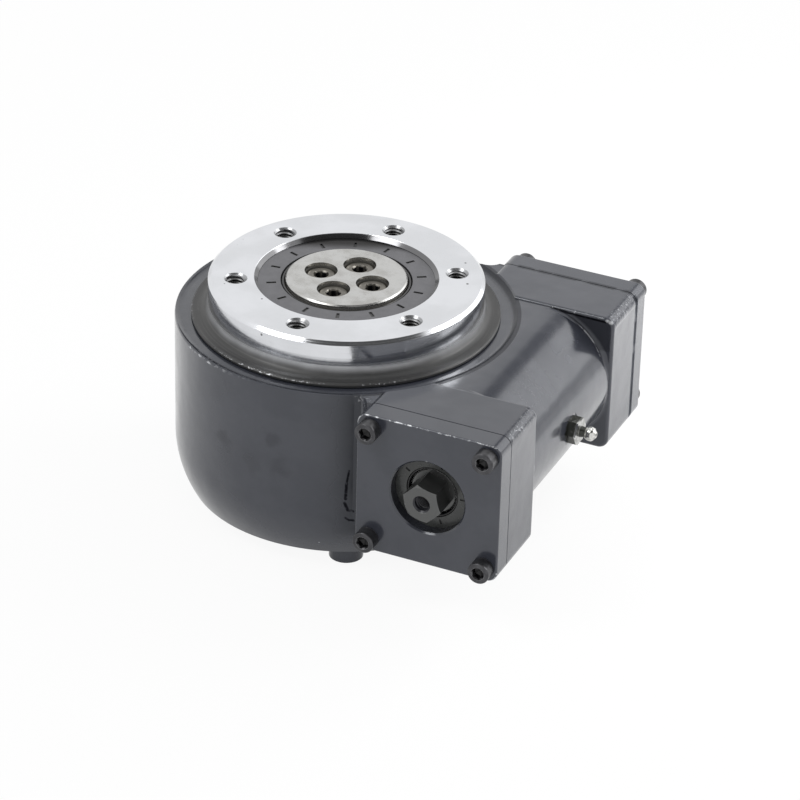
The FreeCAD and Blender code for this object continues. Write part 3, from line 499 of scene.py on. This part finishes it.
# Hub cap: machined steel with faint blotches; below the face the counterbores go brown with painted shade.
def makeHubSteel(look):
    material, tree, inputs, point = newMaterial("hubCapSteel")
    lines, _, up = use(tree, turnedLines, Point=point, Pitch=look["linePitch"])
    blotch = patchy(tree, point, *look["blotches"])
    # painted shade, brown, deeper in the counterbores
    deep = drop(tree, up, *look["boreDepth"])
    dark = largest(tree, [deep, times(tree, dotMask(tree, point, look["dots"]), look["dotShare"])])
    face = tint(tree, blotch, look["steel"], look["stainAndShade"])
    plug(tree, inputs, Base_Color=tint(tree, dark, face, look["bore"]),
         Metallic=ease(tree, deep, 1.0, look["boreMetal"]),
         Roughness=ease(tree, largest(tree, [blotch, deep]), *look["rough"]))
    bump(tree, inputs, lines, look["lineHeight"])
    return material


shaftLook = dict(dark=(0.112, 0.114, 0.113, 1), bright=(0.46, 0.46, 0.46, 1), line=(0.36, 0.36, 0.36, 1),
                 # deep: painted shade in the tapped hole in the shaft's end
                 rub=(0.40, 0.40, 0.41, 1), deep=(0.022, 0.023, 0.028, 1), hexEnd=(-75.95 * mm, -75.85 * mm),
                 axis=(79 * mm, 60 * mm), hole=(4.5 * mm, 4.7 * mm), holeMouth=(-88.95 * mm, -88.85 * mm),
                 wear=dict(Width=0.4 * mm, Scale=900.0, Amount=0.50), rubShare=0.6, lineScale=6000.0,
                 mottle=((700.0, 3.0), (0.3, 0.7)), mottleDull=0.08, mottleHeight=0.000003,
                 metal=0.85, holeLoss=0.6, rough=(0.22, 0.30))


# Worm shaft: the hexagon and the end face behind it are phosphated dark, the rest is ground brighter, with fine
# lines around it. The hole is found by its distance from the axis, and painted shade makes it nearly black.
def makeShaftSteel(look):
    material, tree, inputs, point = newMaterial("shaftSteel")
    across, along, up = split(tree, point)
    axisX, axisZ = look["axis"]
    aside = pair(tree, calc(tree, "SUBTRACT", across, axisX), calc(tree, "SUBTRACT", up, axisZ))
    # painted shade: near black in the hole
    inHole = times(tree, drop(tree, vectorCalc(tree, "LENGTH", aside), *look["hole"]),
                   fade(tree, along, *look["holeMouth"]))
    hexagon = drop(tree, along, *look["hexEnd"])
    mottle = patchy(tree, point, *look["mottle"])
    worn = use(tree, edgeWear, Point=point, **look["wear"])["Mask"]
    dark = tint(tree, times(tree, worn, look["rubShare"]), look["dark"], look["rub"])
    lines = put(tree, "TexNoise", {"W": times(tree, along, look["lineScale"]), "Scale": 1.0}, noise_dimensions="1D")
    ground = tint(tree, lines.outputs["Fac"], look["bright"], look["line"])
    skin = tint(tree, inHole, tint(tree, hexagon, ground, dark), look["deep"])
    rough = calc(tree, "ADD", ease(tree, hexagon, *look["rough"]), times(tree, mottle, look["mottleDull"]))
    plug(tree, inputs, Base_Color=skin, Roughness=rough,
         Metallic=calc(tree, "SUBTRACT", look["metal"], times(tree, inHole, look["holeLoss"])))
    bump(tree, inputs, mottle, look["mottleHeight"])
    return material


# inside: painted shade in the sockets
screwLook = dict(inside=(0.006, 0.006, 0.007, 1), bloom=((260.0, 2.0), (0.35, 0.7)), rubShare=0.6,
                 wear=dict(Width=0.4 * mm, Scale=700.0), metal=(0.8, 0.2), rough=(0.28, 0.36),
                 grain=(2600.0, 2.0), grainHeight=0.0000015)
# rimWearAndHighlight: rims rubbed lighter, as wear and as a painted highlight
coverScrewLook = dict(screwLook, oxide=(0.058, 0.058, 0.062, 1), grey=(0.085, 0.085, 0.09, 1),
                      rub=(0.46, 0.46, 0.47, 1), rimWearAndHighlight=0.66,
                      middle=(79 * mm, 0, 60 * mm), laid=True, socket=(2.6 * mm, 2.9 * mm),
                      socketTop=(88.1 * mm, 88.9 * mm),
                      spots=dict(Circle=27.5 * math.sqrt(2) * mm, Step=math.pi / 2, Start=math.radians(45)))
hubScrewLook = dict(screwLook, oxide=(0.155, 0.145, 0.128, 1), grey=(0.21, 0.197, 0.172, 1),
                    rub=(0.5, 0.48, 0.44, 1), rimWearAndHighlight=0.62,
                    middle=(0, 0, 0), laid=False, socket=(3.1 * mm, 3.4 * mm), socketTop=(106.6 * mm, 107.4 * mm),
                    spots=dict(Circle=13 * mm, Step=math.pi / 2, Start=math.radians(-1.6)))


# Black oxide screws: dark with a grey bloom, rubbed lighter along the rims as wear and as a painted highlight, and
# black with painted shade inside the sockets. Screws that are laid along Y swap their height and depth, so that
# both kinds stand around Z for the places group.
def makeScrewSteel(name, look):
    material, tree, inputs, point = newMaterial(name)
    x, y, z = split(tree, vectorCalc(tree, "SUBTRACT", point, look["middle"]))
    standing, height = (pair(tree, x, z), y) if look["laid"] else (pair(tree, x, y), z)
    toScrew = use(tree, places, Point=standing, **look["spots"])["Distance"]
    # painted shade inside the sockets
    socket = times(tree, drop(tree, toScrew, *look["socket"]),
                   drop(tree, calc(tree, "ABSOLUTE", height), *look["socketTop"]))
    bloom = patchy(tree, point, *look["bloom"])
    # rims rubbed lighter: wear, and a painted highlight
    worn = use(tree, edgeWear, Point=point, Amount=look["rimWearAndHighlight"], **look["wear"])["Mask"]
    skin = tint(tree, bloom, look["oxide"], look["grey"])
    skin = tint(tree, times(tree, worn, look["rubShare"]), skin, look["rub"])
    plug(tree, inputs, Base_Color=tint(tree, socket, skin, look["inside"]),
         Metallic=ease(tree, socket, *look["metal"]), Roughness=ease(tree, bloom, *look["rough"]))
    bump(tree, inputs, noise(tree, point, *look["grain"]), look["grainHeight"])
    return material


nippleLook = dict(light=(0.66, 0.66, 0.64, 1), dark=(0.42, 0.42, 0.40, 1), grimeAndShade=(0.030, 0.032, 0.026, 1),
                  flats=(115.3 * mm, 115.9 * mm), waistLow=(116.3 * mm, 116.7 * mm),
                  waistHigh=(119.0 * mm, 119.4 * mm), patches=((420.0, 3.0, 0.6), (0.4, 0.62)),
                  thin=((600.0,), (0.2, 0.45, 0.75, 1.0)), metal=(1.0, 0.3), rough=(0.10, 0.2),
                  patchHeight=0.000004)


# Plated nipple: bright with dull patches, the hexagon's flats and the waist black with grease. The grime falls off
# at the flats' end and fills the waist.
def makeNipple(look):
    material, tree, inputs, point = newMaterial("nipplePlating")
    out = split(tree, point)[0]
    patch = patchy(tree, point, *look["patches"])
    waist = times(tree, fade(tree, out, *look["waistLow"]), drop(tree, out, *look["waistHigh"]))
    greasy = largest(tree, [waist, drop(tree, out, *look["flats"])])
    grimeAndShade = times(tree, greasy, patchy(tree, point, *look["thin"]))
    plating = tint(tree, patch, look["light"], look["dark"])
    plug(tree, inputs, Base_Color=tint(tree, grimeAndShade, plating, look["grimeAndShade"]),
         Metallic=ease(tree, grimeAndShade, *look["metal"]), Roughness=ease(tree, patch, *look["rough"]))
    bump(tree, inputs, patch, look["patchHeight"])
    return material


turnedLook = dict(pitch=0.0004, patches=(120.0, 3.0, 0.6), toneStep=(0.7, 1.3), height=0.000002)


# A bare turned part: two tones that vary in rings, with the roughness following them from low to high.
def makeTurned(name, light, dark, low, high):
    material, tree, inputs, point = newMaterial(name, Metallic=1.0)
    lines = use(tree, turnedLines, Point=point, Pitch=turnedLook["pitch"])["Height"]
    both = calc(tree, "ADD", lines, noise(tree, point, *turnedLook["patches"]))
    mixed = fade(tree, both, *turnedLook["toneStep"])
    plug(tree, inputs, Base_Color=tint(tree, mixed, light, dark), Roughness=ease(tree, mixed, low, high))
    bump(tree, inputs, lines, turnedLook["height"])
    return material


rubberLook = dict(bloom=((210.0, 4.0, 0.65), (0.3, 0.7)), dust=dict(Scale=900.0, Size=0.3, Share=0.04),
                  # black: painted shade behind a seal's face and on its ticks
                  groove=(0.1 * mm, 0.3 * mm), grooveShade=(0.012, 0.012, 0.013, 1), grain=(3000.0, 2.0),
                  grainHeight=0.000005)
wormSeal = dict(axis=1, side=-1.0, face=-77.5 * mm)
hubSeal = dict(axis=2, side=1.0, face=108 * mm, ticks=dict(Step=math.radians(360 / 14), Start=math.radians(6)),
               tickSide=(0.8 * mm, 0.95 * mm), tickInner=(31.8 * mm, 32.0 * mm), tickOuter=(36.2 * mm, 36.4 * mm),
               # oil: painted shade on the seal's back side, with its colour, turn and reach
               backShade=(0.012, 0.011, 0.011, 1), backShadeTurn=math.radians(114), backShadeReach=(27 * mm, 36 * mm))


# Ticks of a seal around Z: bars, each 1 near the line through its place and between two radii.
def tickMask(tree, point, seal):
    spot = use(tree, places, Point=point, **seal["ticks"])
    return times(tree, drop(tree, spot["Sideways"], *seal["tickSide"]),
                 fade(tree, spot["Radius"], *seal["tickInner"]), drop(tree, spot["Radius"], *seal["tickOuter"]))


# Painted shade on the back of a seal: a fade of how far the point reaches in the direction given by its turn.
def backShadeMask(tree, point, seal):
    towards = (math.cos(seal["backShadeTurn"]), math.sin(seal["backShadeTurn"]), 0)
    return fade(tree, vectorCalc(tree, "DOT_PRODUCT", point, towards), *seal["backShadeReach"])


# Moulded rubber or sheet with a faint bloom and a fine grain, its roughness from low to high. In a seal, painted
# shade makes what lies more than a little behind the face, such as lip grooves, nearly black; one with ticks has
# painted shade on its ticks and on its back side too.
def makeRubber(name, light, dark, low, high, seal=None):
    material, tree, inputs, point = newMaterial(name, Specular_IOR_Level=0.5)
    bloom = patchy(tree, point, *rubberLook["bloom"])
    skin = tint(tree, largest(tree, [bloom, dotMask(tree, point, rubberLook["dust"])]), dark, light)
    if seal:
        place = split(tree, point)[seal["axis"]]
        behind = times(tree, calc(tree, "SUBTRACT", seal["face"], place), seal["side"])
        # painted shade: nearly black behind the face
        deep = fade(tree, behind, *rubberLook["groove"])
        if "ticks" in seal:
            deep = largest(tree, [deep, tickMask(tree, point, seal)])
            # painted shade on the back side, with metal on so that it reflects little
            backShade = backShadeMask(tree, point, seal)
            skin = tint(tree, backShade, skin, seal["backShade"])
            plug(tree, inputs, Metallic=backShade)
        skin = tint(tree, deep, skin, rubberLook["grooveShade"])
    plug(tree, inputs, Base_Color=skin, Roughness=ease(tree, bloom, low, high))
    bump(tree, inputs, noise(tree, point, *rubberLook["grain"]), rubberLook["grainHeight"])
    return material


finishes = {
    "housing_paint": makePaint(paintLook),
    "turned_steel": makeRingSteel(ringLook),
    "hub_cap_steel": makeHubSteel(hubLook),
    "shaft_steel": makeShaftSteel(shaftLook),
    "black_steel": makeScrewSteel("blackSteel", coverScrewLook),
    "bearing_steel": makeTurned("bearingSteel", (0.66, 0.67, 0.68, 1), (0.56, 0.57, 0.58, 1), 0.12, 0.2),
    "cage_steel": makeTurned("cageSteel", (0.52, 0.52, 0.52, 1), (0.42, 0.42, 0.43, 1), 0.28, 0.42),
    "spacer_steel": makeTurned("spacerSteel", (0.48, 0.48, 0.49, 1), (0.38, 0.38, 0.40, 1), 0.25, 0.38),
    "wheel_bronze": makeTurned("wheelBronze", (0.66, 0.44, 0.20, 1), (0.50, 0.31, 0.13, 1), 0.22, 0.36),
    "nipple_plating": makeNipple(nippleLook),
    "seal_rubber": makeRubber("sealRubber", (0.05, 0.05, 0.052, 1), (0.035, 0.035, 0.037, 1), 0.4, 0.55),
    "gasket_sheet": makeRubber("gasketSheet", (0.022, 0.022, 0.023, 1), (0.012, 0.012, 0.013, 1), 0.5, 0.7),
}
nodeFinishes = {
    "front_gasket": makeRubber("frontGasketSheet", (0.16, 0.162, 0.17, 1), (0.05, 0.051, 0.055, 1), 0.35, 0.5),
    "hub_cap_screws": makeScrewSteel("hubScrewSteel", hubScrewLook),
    "hub_seal": makeRubber("hubSealRubber", (0.105, 0.105, 0.115, 1), (0.085, 0.085, 0.094, 1), 0.12, 0.2,
                           hubSeal),
    "worm_seal": makeRubber("wormSealRubber", (0.055, 0.058, 0.056, 1), (0.040, 0.042, 0.041, 1), 0.2, 0.32,
                            wormSeal),
}
for row in frame["record"]["subparts"]:
    for holder in cadNodes[row["node"]].material_slots:
        holder.material = nodeFinishes.get(row["node"], finishes[row["material_slot"]])
print("finishes:", len(finishes) + len(nodeFinishes))


# Quads between neighbours of a grid of rows and columns, the columns closing on themselves.
def gridQuads(rows, columns):
    row = np.arange(rows - 1)[:, None] * columns
    column = np.arange(columns)[None, :]
    after = (column + 1) % columns
    return np.stack([row + column, row + after, row + columns + after, row + columns + column], -1).reshape(-1, 4)


# Triangles from one pole to a closed row that starts at first; flipped turns them over.
def poleFan(pole, first, columns, flipped):
    column = np.arange(columns)
    after = (column + 1) % columns
    ends = (after, column) if flipped else (column, after)
    return np.stack([np.full(columns, pole), first + ends[0], first + ends[1]], -1)


# A grid of points with a pole before the first row and one after the last, as points, quads and triangles.
def closedGrid(grid, firstPole, lastPole):
    rows, columns = grid.shape[:2]
    count = rows * columns
    points = np.concatenate([grid.reshape(-1, 3), [firstPole, lastPole]])
    fans = np.concatenate([poleFan(count, 0, columns, True), poleFan(count + 1, count - columns, columns, False)])
    return points, gridQuads(rows, columns), fans


# Points of a shape whose own Z is the axis, moved so that it stands at origin along axis.
def stand(points, origin, axis, turn=0.0):
    towards = Vector(axis).to_track_quat("Z", "Y").to_matrix() @ Matrix.Rotation(turn, 3, "Z")
    return points @ np.array(towards).T + np.array(origin)


# One mesh piece from several closed shapes: points one after another, faces shifted by what came before.
def buildPiece(name, shapes, body, slotName, stands=None, crease=34.0):
    points, faces, start = [], [], 0
    for vertices, quads, fans in shapes:
        points.append(vertices)
        faces += (quads + start).tolist() + (fans + start).tolist()
        start += len(vertices)
    mesh = bpy.data.meshes.new(name)
    mesh.from_pydata(np.concatenate(points).tolist(), [], faces)
    mesh.polygons.foreach_set("use_smooth", np.ones(len(mesh.polygons), bool))
    mesh.set_sharp_from_angle(angle=math.radians(crease))
    mesh.materials.append(nodeFinishes.get(stands, finishes[slotName]))
    piece = bpy.data.objects.new(name, mesh)
    bpy.context.scene.collection.objects.link(piece)
    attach(piece, body)
    if stands:
        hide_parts(stands)
    print("piece:", name, len(mesh.polygons), "faces on", body)


# Cap screw about Z with its seat at 0. Each row is a circle; the thread takes off a triangle wave of height / pitch
# minus angle / turn, the knurl a cosine of the angle, and the socket's rows are a hexagon: half width / cos(folded
# angle).
def screwShape(s):
    angle = np.arange(s["columns"]) * 2 * np.pi / s["columns"]
    folded = (angle + np.pi / 6) % (np.pi / 3) - np.pi / 6
    hexagon = s["socket"] / 2 / np.cos(folded)
    r, big, h, p, e = s["shankRadius"], s["headRadius"], s["headHeight"], s["pitch"], s["edge"]
    mouth = s["socket"] / math.sqrt(3) * s["mouthShare"]
    low = h - s["socketDepth"]
    depth = s["threadShare"] * p
    bend = np.linspace(0, np.pi / 2, s["edgeRows"])
    turns = np.arange(p - s["length"], -s["plainShank"], p / s["turnRows"])
    # height, circle radius, hexagon share, knurl share, thread share
    table = [[(-s["length"], r - depth, 0, 0, 0)],
             np.stack([turns, np.full_like(turns, r), *np.zeros((2, len(turns))), np.ones_like(turns)], 1),
             [(-s["plainShank"] + p / s["turnRows"], r, 0, 0, 0), (0, r, 0, 0, 0),
              (0, big - s["seatEdge"], 0, 0, 0), (s["seatEdge"], big, 0, 0, 0),
              (s["knurlLow"], big, 0, 1, 0), (h - s["knurlHigh"] * e, big, 0, 1, 0),
              (h - s["knurlFade"] * e, big, 0, 0, 0)],
             np.stack([h - e + e * np.sin(bend), big - e + e * np.cos(bend), *np.zeros((3, len(bend)))], 1),
             [(h, mouth, 0, 0, 0), (h - s["mouthDepth"] * s["socket"], 0, 1, 0, 0), (low, 0, 1, 0, 0),
              (low - s["floorDrop"], 0, s["floorShare"], 0, 0)]]
    height, circle, six, knurl, thread = np.concatenate([np.array(t, float) for t in table]).T[:, :, None]
    wave = np.abs(2 * ((height / p - angle / (2 * np.pi)) % 1) - 1)
    ribs = 0.5 - 0.5 * np.cos(s["columns"] / 2 * angle)
    radius = circle - thread * depth * wave - knurl * s["knurlDepth"] * ribs + six * hexagon
    grid = np.stack([radius * np.cos(angle), radius * np.sin(angle), height + 0 * angle], -1)
    return closedGrid(grid, (0, 0, -s["length"] - s["tip"]), (0, 0, low - s["drillShare"] * s["socket"]))


# Thread ridge about Z: a trapezium in radius and height carried along a helix, fading out over a half turn at each
# end. Its foot is sunk into the wall.
def ridgeShape(t, sunk=0.12 * mm, across=(-0.47, -0.45, -0.09, 0.09, 0.45, 0.47)):
    angle = np.linspace(0, 2 * np.pi * t["turns"], int(t["turns"] * t["steps"]) + 1)[:, None]
    rise = np.clip(np.minimum(angle, angle[-1] - angle) / np.pi, 0, 1)
    inwards = np.array([sunk, 0.0, -t["depth"], -t["depth"], 0.0, sunk])
    radius = t["bore"] + np.where(inwards < 0, inwards * rise, inwards)
    height = np.array(across) * t["pitch"] + t["pitch"] * angle / (2 * np.pi)
    grid = np.stack([radius * np.cos(angle), radius * np.sin(angle), height], -1)
    return closedGrid(grid, grid[0].mean(0), grid[-1].mean(0))


# A shape repeated: one copy at each origin, along one axis.
def copies(shape, origins, axis, turns=None):
    points, quads, fans = shape
    spins = [0.0] * len(origins) if turns is None else turns
    return [(stand(points, origin, axis, spin), quads, fans) for origin, spin in zip(origins, spins)]


# Centres on a circle about Z: radius * (cos, sin) of start + i * turn / count.
def circleOf(s, height):
    angle = np.radians(s["start"]) + np.arange(s["count"]) * 2 * np.pi / s["count"]
    radius = s["circle"] / 2
    return np.stack([radius * np.cos(angle), radius * np.sin(angle), np.full(s["count"], height)], 1)


capScrew = dict(columns=96, edgeRows=7, turnRows=8, tip=0.2 * mm, threadShare=0.6, seatEdge=0.25 * mm,
                knurlLow=0.45 * mm, knurlHigh=2.6, knurlFade=2.3, mouthShare=1.05, mouthDepth=0.12,
                floorDrop=0.05 * mm, floorShare=0.9, drillShare=0.3)
coverScrew = dict(capScrew, headRadius=5 * mm, headHeight=6 * mm, shankRadius=2.98 * mm, pitch=1.0 * mm,
                  edge=0.6 * mm, socket=5 * mm, socketDepth=3.2 * mm, plainShank=4 * mm, knurlDepth=0.05 * mm,
                  wormX=79 * mm, wormZ=60 * mm, spread=27.5 * mm, seat=83 * mm, spins=(0.35, 1.1, 0.8, 0.15))
wormCentre = np.array([coverScrew["wormX"], 0, coverScrew["wormZ"]])
corners = np.array([(-1, 0, 1), (1, 0, 1), (-1, 0, -1), (1, 0, -1)]) * coverScrew["spread"]
for node, side in (("front_cover_screws", -1), ("rear_cover_screws", 1)):
    low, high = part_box(node)
    reach = (high.y - low.y) - coverScrew["headHeight"]
    shape = screwShape(dict(coverScrew, length=reach - coverScrew["tip"]))
    seats = wormCentre + corners + np.array([0, side * coverScrew["seat"], 0])
    screws = copies(shape, seats, (0, side, 0), coverScrew["spins"])
    buildPiece(node + "_detail", screws, "fixed", "black_steel", node)

hubScrew = dict(capScrew, headRadius=6.5 * mm, headHeight=8 * mm, shankRadius=3.98 * mm, pitch=1.25 * mm,
                edge=0.8 * mm, socket=6 * mm, socketDepth=4.2 * mm, plainShank=5 * mm, knurlDepth=0.08 * mm,
                circle=26 * mm, count=4, start=-1.6, seat=99.5 * mm, spins=(0.2, 0.75, 0.45, 0.95))
low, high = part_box("hub_cap_screws")
hubReach = (high.z - low.z) - hubScrew["headHeight"]
hubShape = screwShape(dict(hubScrew, length=hubReach - hubScrew["tip"]))
hubSeats = circleOf(hubScrew, hubScrew["seat"])
hubScrews = copies(hubShape, hubSeats, (0, 0, 1), hubScrew["spins"])
buildPiece("hub_cap_screws_detail", hubScrews, "fixed", "black_steel", "hub_cap_screws")

ringThread = dict(bore=4.25 * mm, depth=0.55 * mm, pitch=1.5 * mm, turns=6.5, steps=48,
                  circle=100 * mm, count=6, start=30.0, floor=99.2 * mm, phase=1.1)
ringHoles = circleOf(ringThread, ringThread["floor"])
ringSpins = np.arange(ringThread["count"]) * ringThread["phase"]
ringRidges = copies(ridgeShape(ringThread), ringHoles, (0, 0, 1), ringSpins)
buildPiece("ring_hole_threads", ringRidges, "ring", "turned_steel")

baseThread = dict(bore=3.4 * mm, depth=0.5 * mm, pitch=1.25 * mm, turns=9, steps=40,
                  circle=120 * mm, count=4, start=27.0, floor=0.9 * mm)
baseHoles = circleOf(baseThread, baseThread["floor"])
buildPiece("base_hole_threads", copies(ridgeShape(baseThread), baseHoles, (0, 0, 1)), "fixed", "housing_paint")

shaftThread = dict(baseThread, floor=-75.5 * mm)
shaftHole = [wormCentre + np.array([0, shaftThread["floor"], 0])]
buildPiece("shaft_hole_thread", copies(ridgeShape(shaftThread), shaftHole, (0, -1, 0)), "worm", "shaft_steel")


stageLook = dict(floorSize=8.0, floorWhite=0.9, cameraShare=0.92, mirrorShare=0.45, ambient=0.66,
                 aim=(0.03, 0.0, 0.06), cardColumns=33, cardRows=13)


# Light Path rays that look at the stage: 1 for the camera or glass, mirror's own share for mirror rays, else 0.
def lookingRays(tree, mirror=1.0):
    rays = put(tree, "LightPath").outputs
    mirrored = times(tree, rays["Is Glossy Ray"], mirror)
    return largest(tree, [rays["Is Camera Ray"], rays["Is Transmission Ray"], mirrored])


# A material made from nothing, with its tree.
def plainMaterial(name):
    material = bpy.data.materials.new(name)
    material.use_nodes = True
    material.node_tree.nodes.clear()
    return material, material.node_tree


# A mesh for the stage.
def stageMesh(name, points, faces, material):
    mesh = bpy.data.meshes.new(name)
    mesh.from_pydata(points, [], faces)
    mesh.materials.append(material)
    holder = bpy.data.objects.new(name, mesh)
    bpy.context.scene.collection.objects.link(holder)
    return holder


# White floor: a share of plain white for looking rays and the lit floor for the rest, so the shadow stays;
# see-through from below.
def makeFloor(look):
    material, tree = plainMaterial("floorWhite")
    white = look["floorWhite"]
    lit = put(tree, "BsdfDiffuse", {"Color": (white, white, white, 1)})
    glow = put(tree, "Emission", {"Color": (1, 1, 1, 1)})
    share = times(tree, lookingRays(tree, look["mirrorShare"] / look["cameraShare"]), look["cameraShare"])
    top = put(tree, "MixShader", {0: share, 1: lit.outputs[0], 2: glow.outputs[0]})
    clear = put(tree, "BsdfTransparent")
    under = put(tree, "NewGeometry").outputs["Backfacing"]
    both = put(tree, "MixShader", {0: under, 1: top.outputs[0], 2: clear.outputs[0]})
    put(tree, "OutputMaterial", {0: both.outputs[0]})
    half = look["floorSize"] / 2
    rim = [(-half, -half, 0), (half, -half, 0), (half, half, 0), (-half, half, 0)]
    stageMesh("floor", rim, [(0, 1, 2, 3)], material)


# White surroundings for looking rays; a plain grey sky lights everything else.
def makeWorld(look):
    world = bpy.data.worlds.new("studioWhite")
    bpy.context.scene.world = world
    world.use_nodes = True
    tree = world.node_tree
    tree.nodes.clear()
    plain = put(tree, "Background", {"Color": (1, 1, 1, 1), "Strength": look["ambient"]})
    white = put(tree, "Background", {"Color": (1, 1, 1, 1)})
    mixed = put(tree, "MixShader", {0: lookingRays(tree), 1: plain.outputs[0], 2: white.outputs[0]})
    put(tree, "OutputWorld", {0: mixed.outputs[0]})


# Unit direction from an azimuth about +X and an elevation, in degrees.
def direction(azimuth, elevation):
    a, e = math.radians(azimuth), math.radians(elevation)
    return Vector((math.cos(a) * math.cos(e), math.sin(a) * math.cos(e), math.sin(e)))


# A soft square lamp at aim + distance * direction, facing aim; mirrored: whether it shows in glossy surfaces.
def addLamp(name, azimuth, elevation, size, power, distance=2.0, mirrored=True, aim=stageLook["aim"]):
    data = bpy.data.lights.new(name, "AREA")
    data.shape = "SQUARE"
    data.size = size
    data.energy = power
    lamp = bpy.data.objects.new(name, data)
    lamp.location = Vector(aim) + distance * direction(azimuth, elevation)
    lamp.rotation_mode = "QUATERNION"
    lamp.rotation_quaternion = direction(azimuth, elevation).to_track_quat("Z", "Y")
    lamp.visible_glossy = mirrored
    lamp.visible_camera = False
    bpy.context.scene.collection.objects.link(lamp)


# A dark card that only mirror rays meet: a patch of a sphere about the object, whose tone fades out towards its
# sides. Its points are distance * direction(a, e); the fades read a as atan2(y, x) and e as asin(z / distance).
def addCard(name, azimuth, elevation, halfAzimuth, halfElevation, tone, soft, distance=2.2):
    material, tree = plainMaterial(name)
    point = put(tree, "TexCoord").outputs["Object"]
    x, y, z = split(tree, point)
    turn = calc(tree, "ABSOLUTE", calc(tree, "ARCTAN2", y, x))
    rise = calc(tree, "ARCSINE", calc(tree, "DIVIDE", z, distance))
    tilt = calc(tree, "ABSOLUTE", calc(tree, "SUBTRACT", rise, math.radians(elevation)))
    solid = times(tree, drop(tree, turn, math.radians(halfAzimuth - soft), math.radians(halfAzimuth)),
                  drop(tree, tilt, math.radians(halfElevation - soft), math.radians(halfElevation)))
    dark = put(tree, "Emission", {"Color": (tone, tone, tone, 1)})
    clear = put(tree, "BsdfTransparent")
    mixed = put(tree, "MixShader", {0: solid, 1: clear.outputs[0], 2: dark.outputs[0]})
    put(tree, "OutputMaterial", {0: mixed.outputs[0]})
    columns, rows = stageLook["cardColumns"], stageLook["cardRows"]
    a, e = np.meshgrid(np.radians(np.linspace(-halfAzimuth, halfAzimuth, columns)),
                       np.radians(np.linspace(elevation - halfElevation, elevation + halfElevation, rows)))
    grid = distance * np.stack([np.cos(a) * np.cos(e), np.sin(a) * np.cos(e), np.sin(e)], -1)
    first = (np.arange(rows - 1)[:, None] * columns + np.arange(columns - 1)[None, :]).reshape(-1, 1)
    faces = first + np.array([0, 1, columns + 1, columns])
    card = stageMesh(name, grid.reshape(-1, 3).tolist(), faces.tolist(), material)
    card.matrix_world = Matrix.Translation(stageLook["aim"]) @ Matrix.Rotation(math.radians(azimuth), 4, "Z")
    for rays in ("camera", "diffuse", "transmission", "shadow"):
        setattr(card, "visible_" + rays, False)


makeFloor(stageLook)
makeWorld(stageLook)
lamps = (dict(name="keyLamp", azimuth=-133, elevation=52, size=0.7, power=8.0, distance=1.75),
         dict(name="sideLamp", azimuth=32, elevation=31, size=0.8, power=10.0),
         dict(name="backLamp", azimuth=60, elevation=22, size=1.2, power=4.5),
         dict(name="poolLamp", azimuth=60, elevation=60, size=0.15, power=0.9, distance=0.25, mirrored=False,
              aim=(0.18, 0.18, 0.0)))
cards = (dict(name="roomCard", azimuth=-52, elevation=56, halfAzimuth=68, halfElevation=18, tone=0.09, soft=6),
         dict(name="backCard", azimuth=89, elevation=38, halfAzimuth=11, halfElevation=9, tone=0.2, soft=8))
for lamp in lamps:
    addLamp(**lamp)
for card in cards:
    addCard(**card)

cameraLook = dict(azimuth=24.089, elevation=30.01, roll=1.55, distance=1.6576, lens=165.284, sensor=36.0,
                  aim=(33.03 * mm, -11.45 * mm, 60 * mm), nearest=0.05, farthest=50.0)
cameraData = bpy.data.cameras.new("photoCamera")
cameraData.lens = cameraLook["lens"]
cameraData.sensor_width = cameraLook["sensor"]
cameraData.clip_start = cameraLook["nearest"]
cameraData.clip_end = cameraLook["farthest"]
camera = bpy.data.objects.new("photoCamera", cameraData)
towardsCamera = direction(cameraLook["azimuth"] - 90, cameraLook["elevation"])
facing = towardsCamera.to_track_quat("Z", "Y").to_matrix().to_4x4()
place = Vector(cameraLook["aim"]) + cameraLook["distance"] * towardsCamera
camera.matrix_world = Matrix.Translation(place) @ facing @ Matrix.Rotation(math.radians(cameraLook["roll"]), 4, "Z")
bpy.context.scene.collection.objects.link(camera)
bpy.context.scene.camera = camera
bpy.context.scene.view_settings.view_transform = "Standard"
print("stage: floor, world, four lamps, two dark cards, camera")
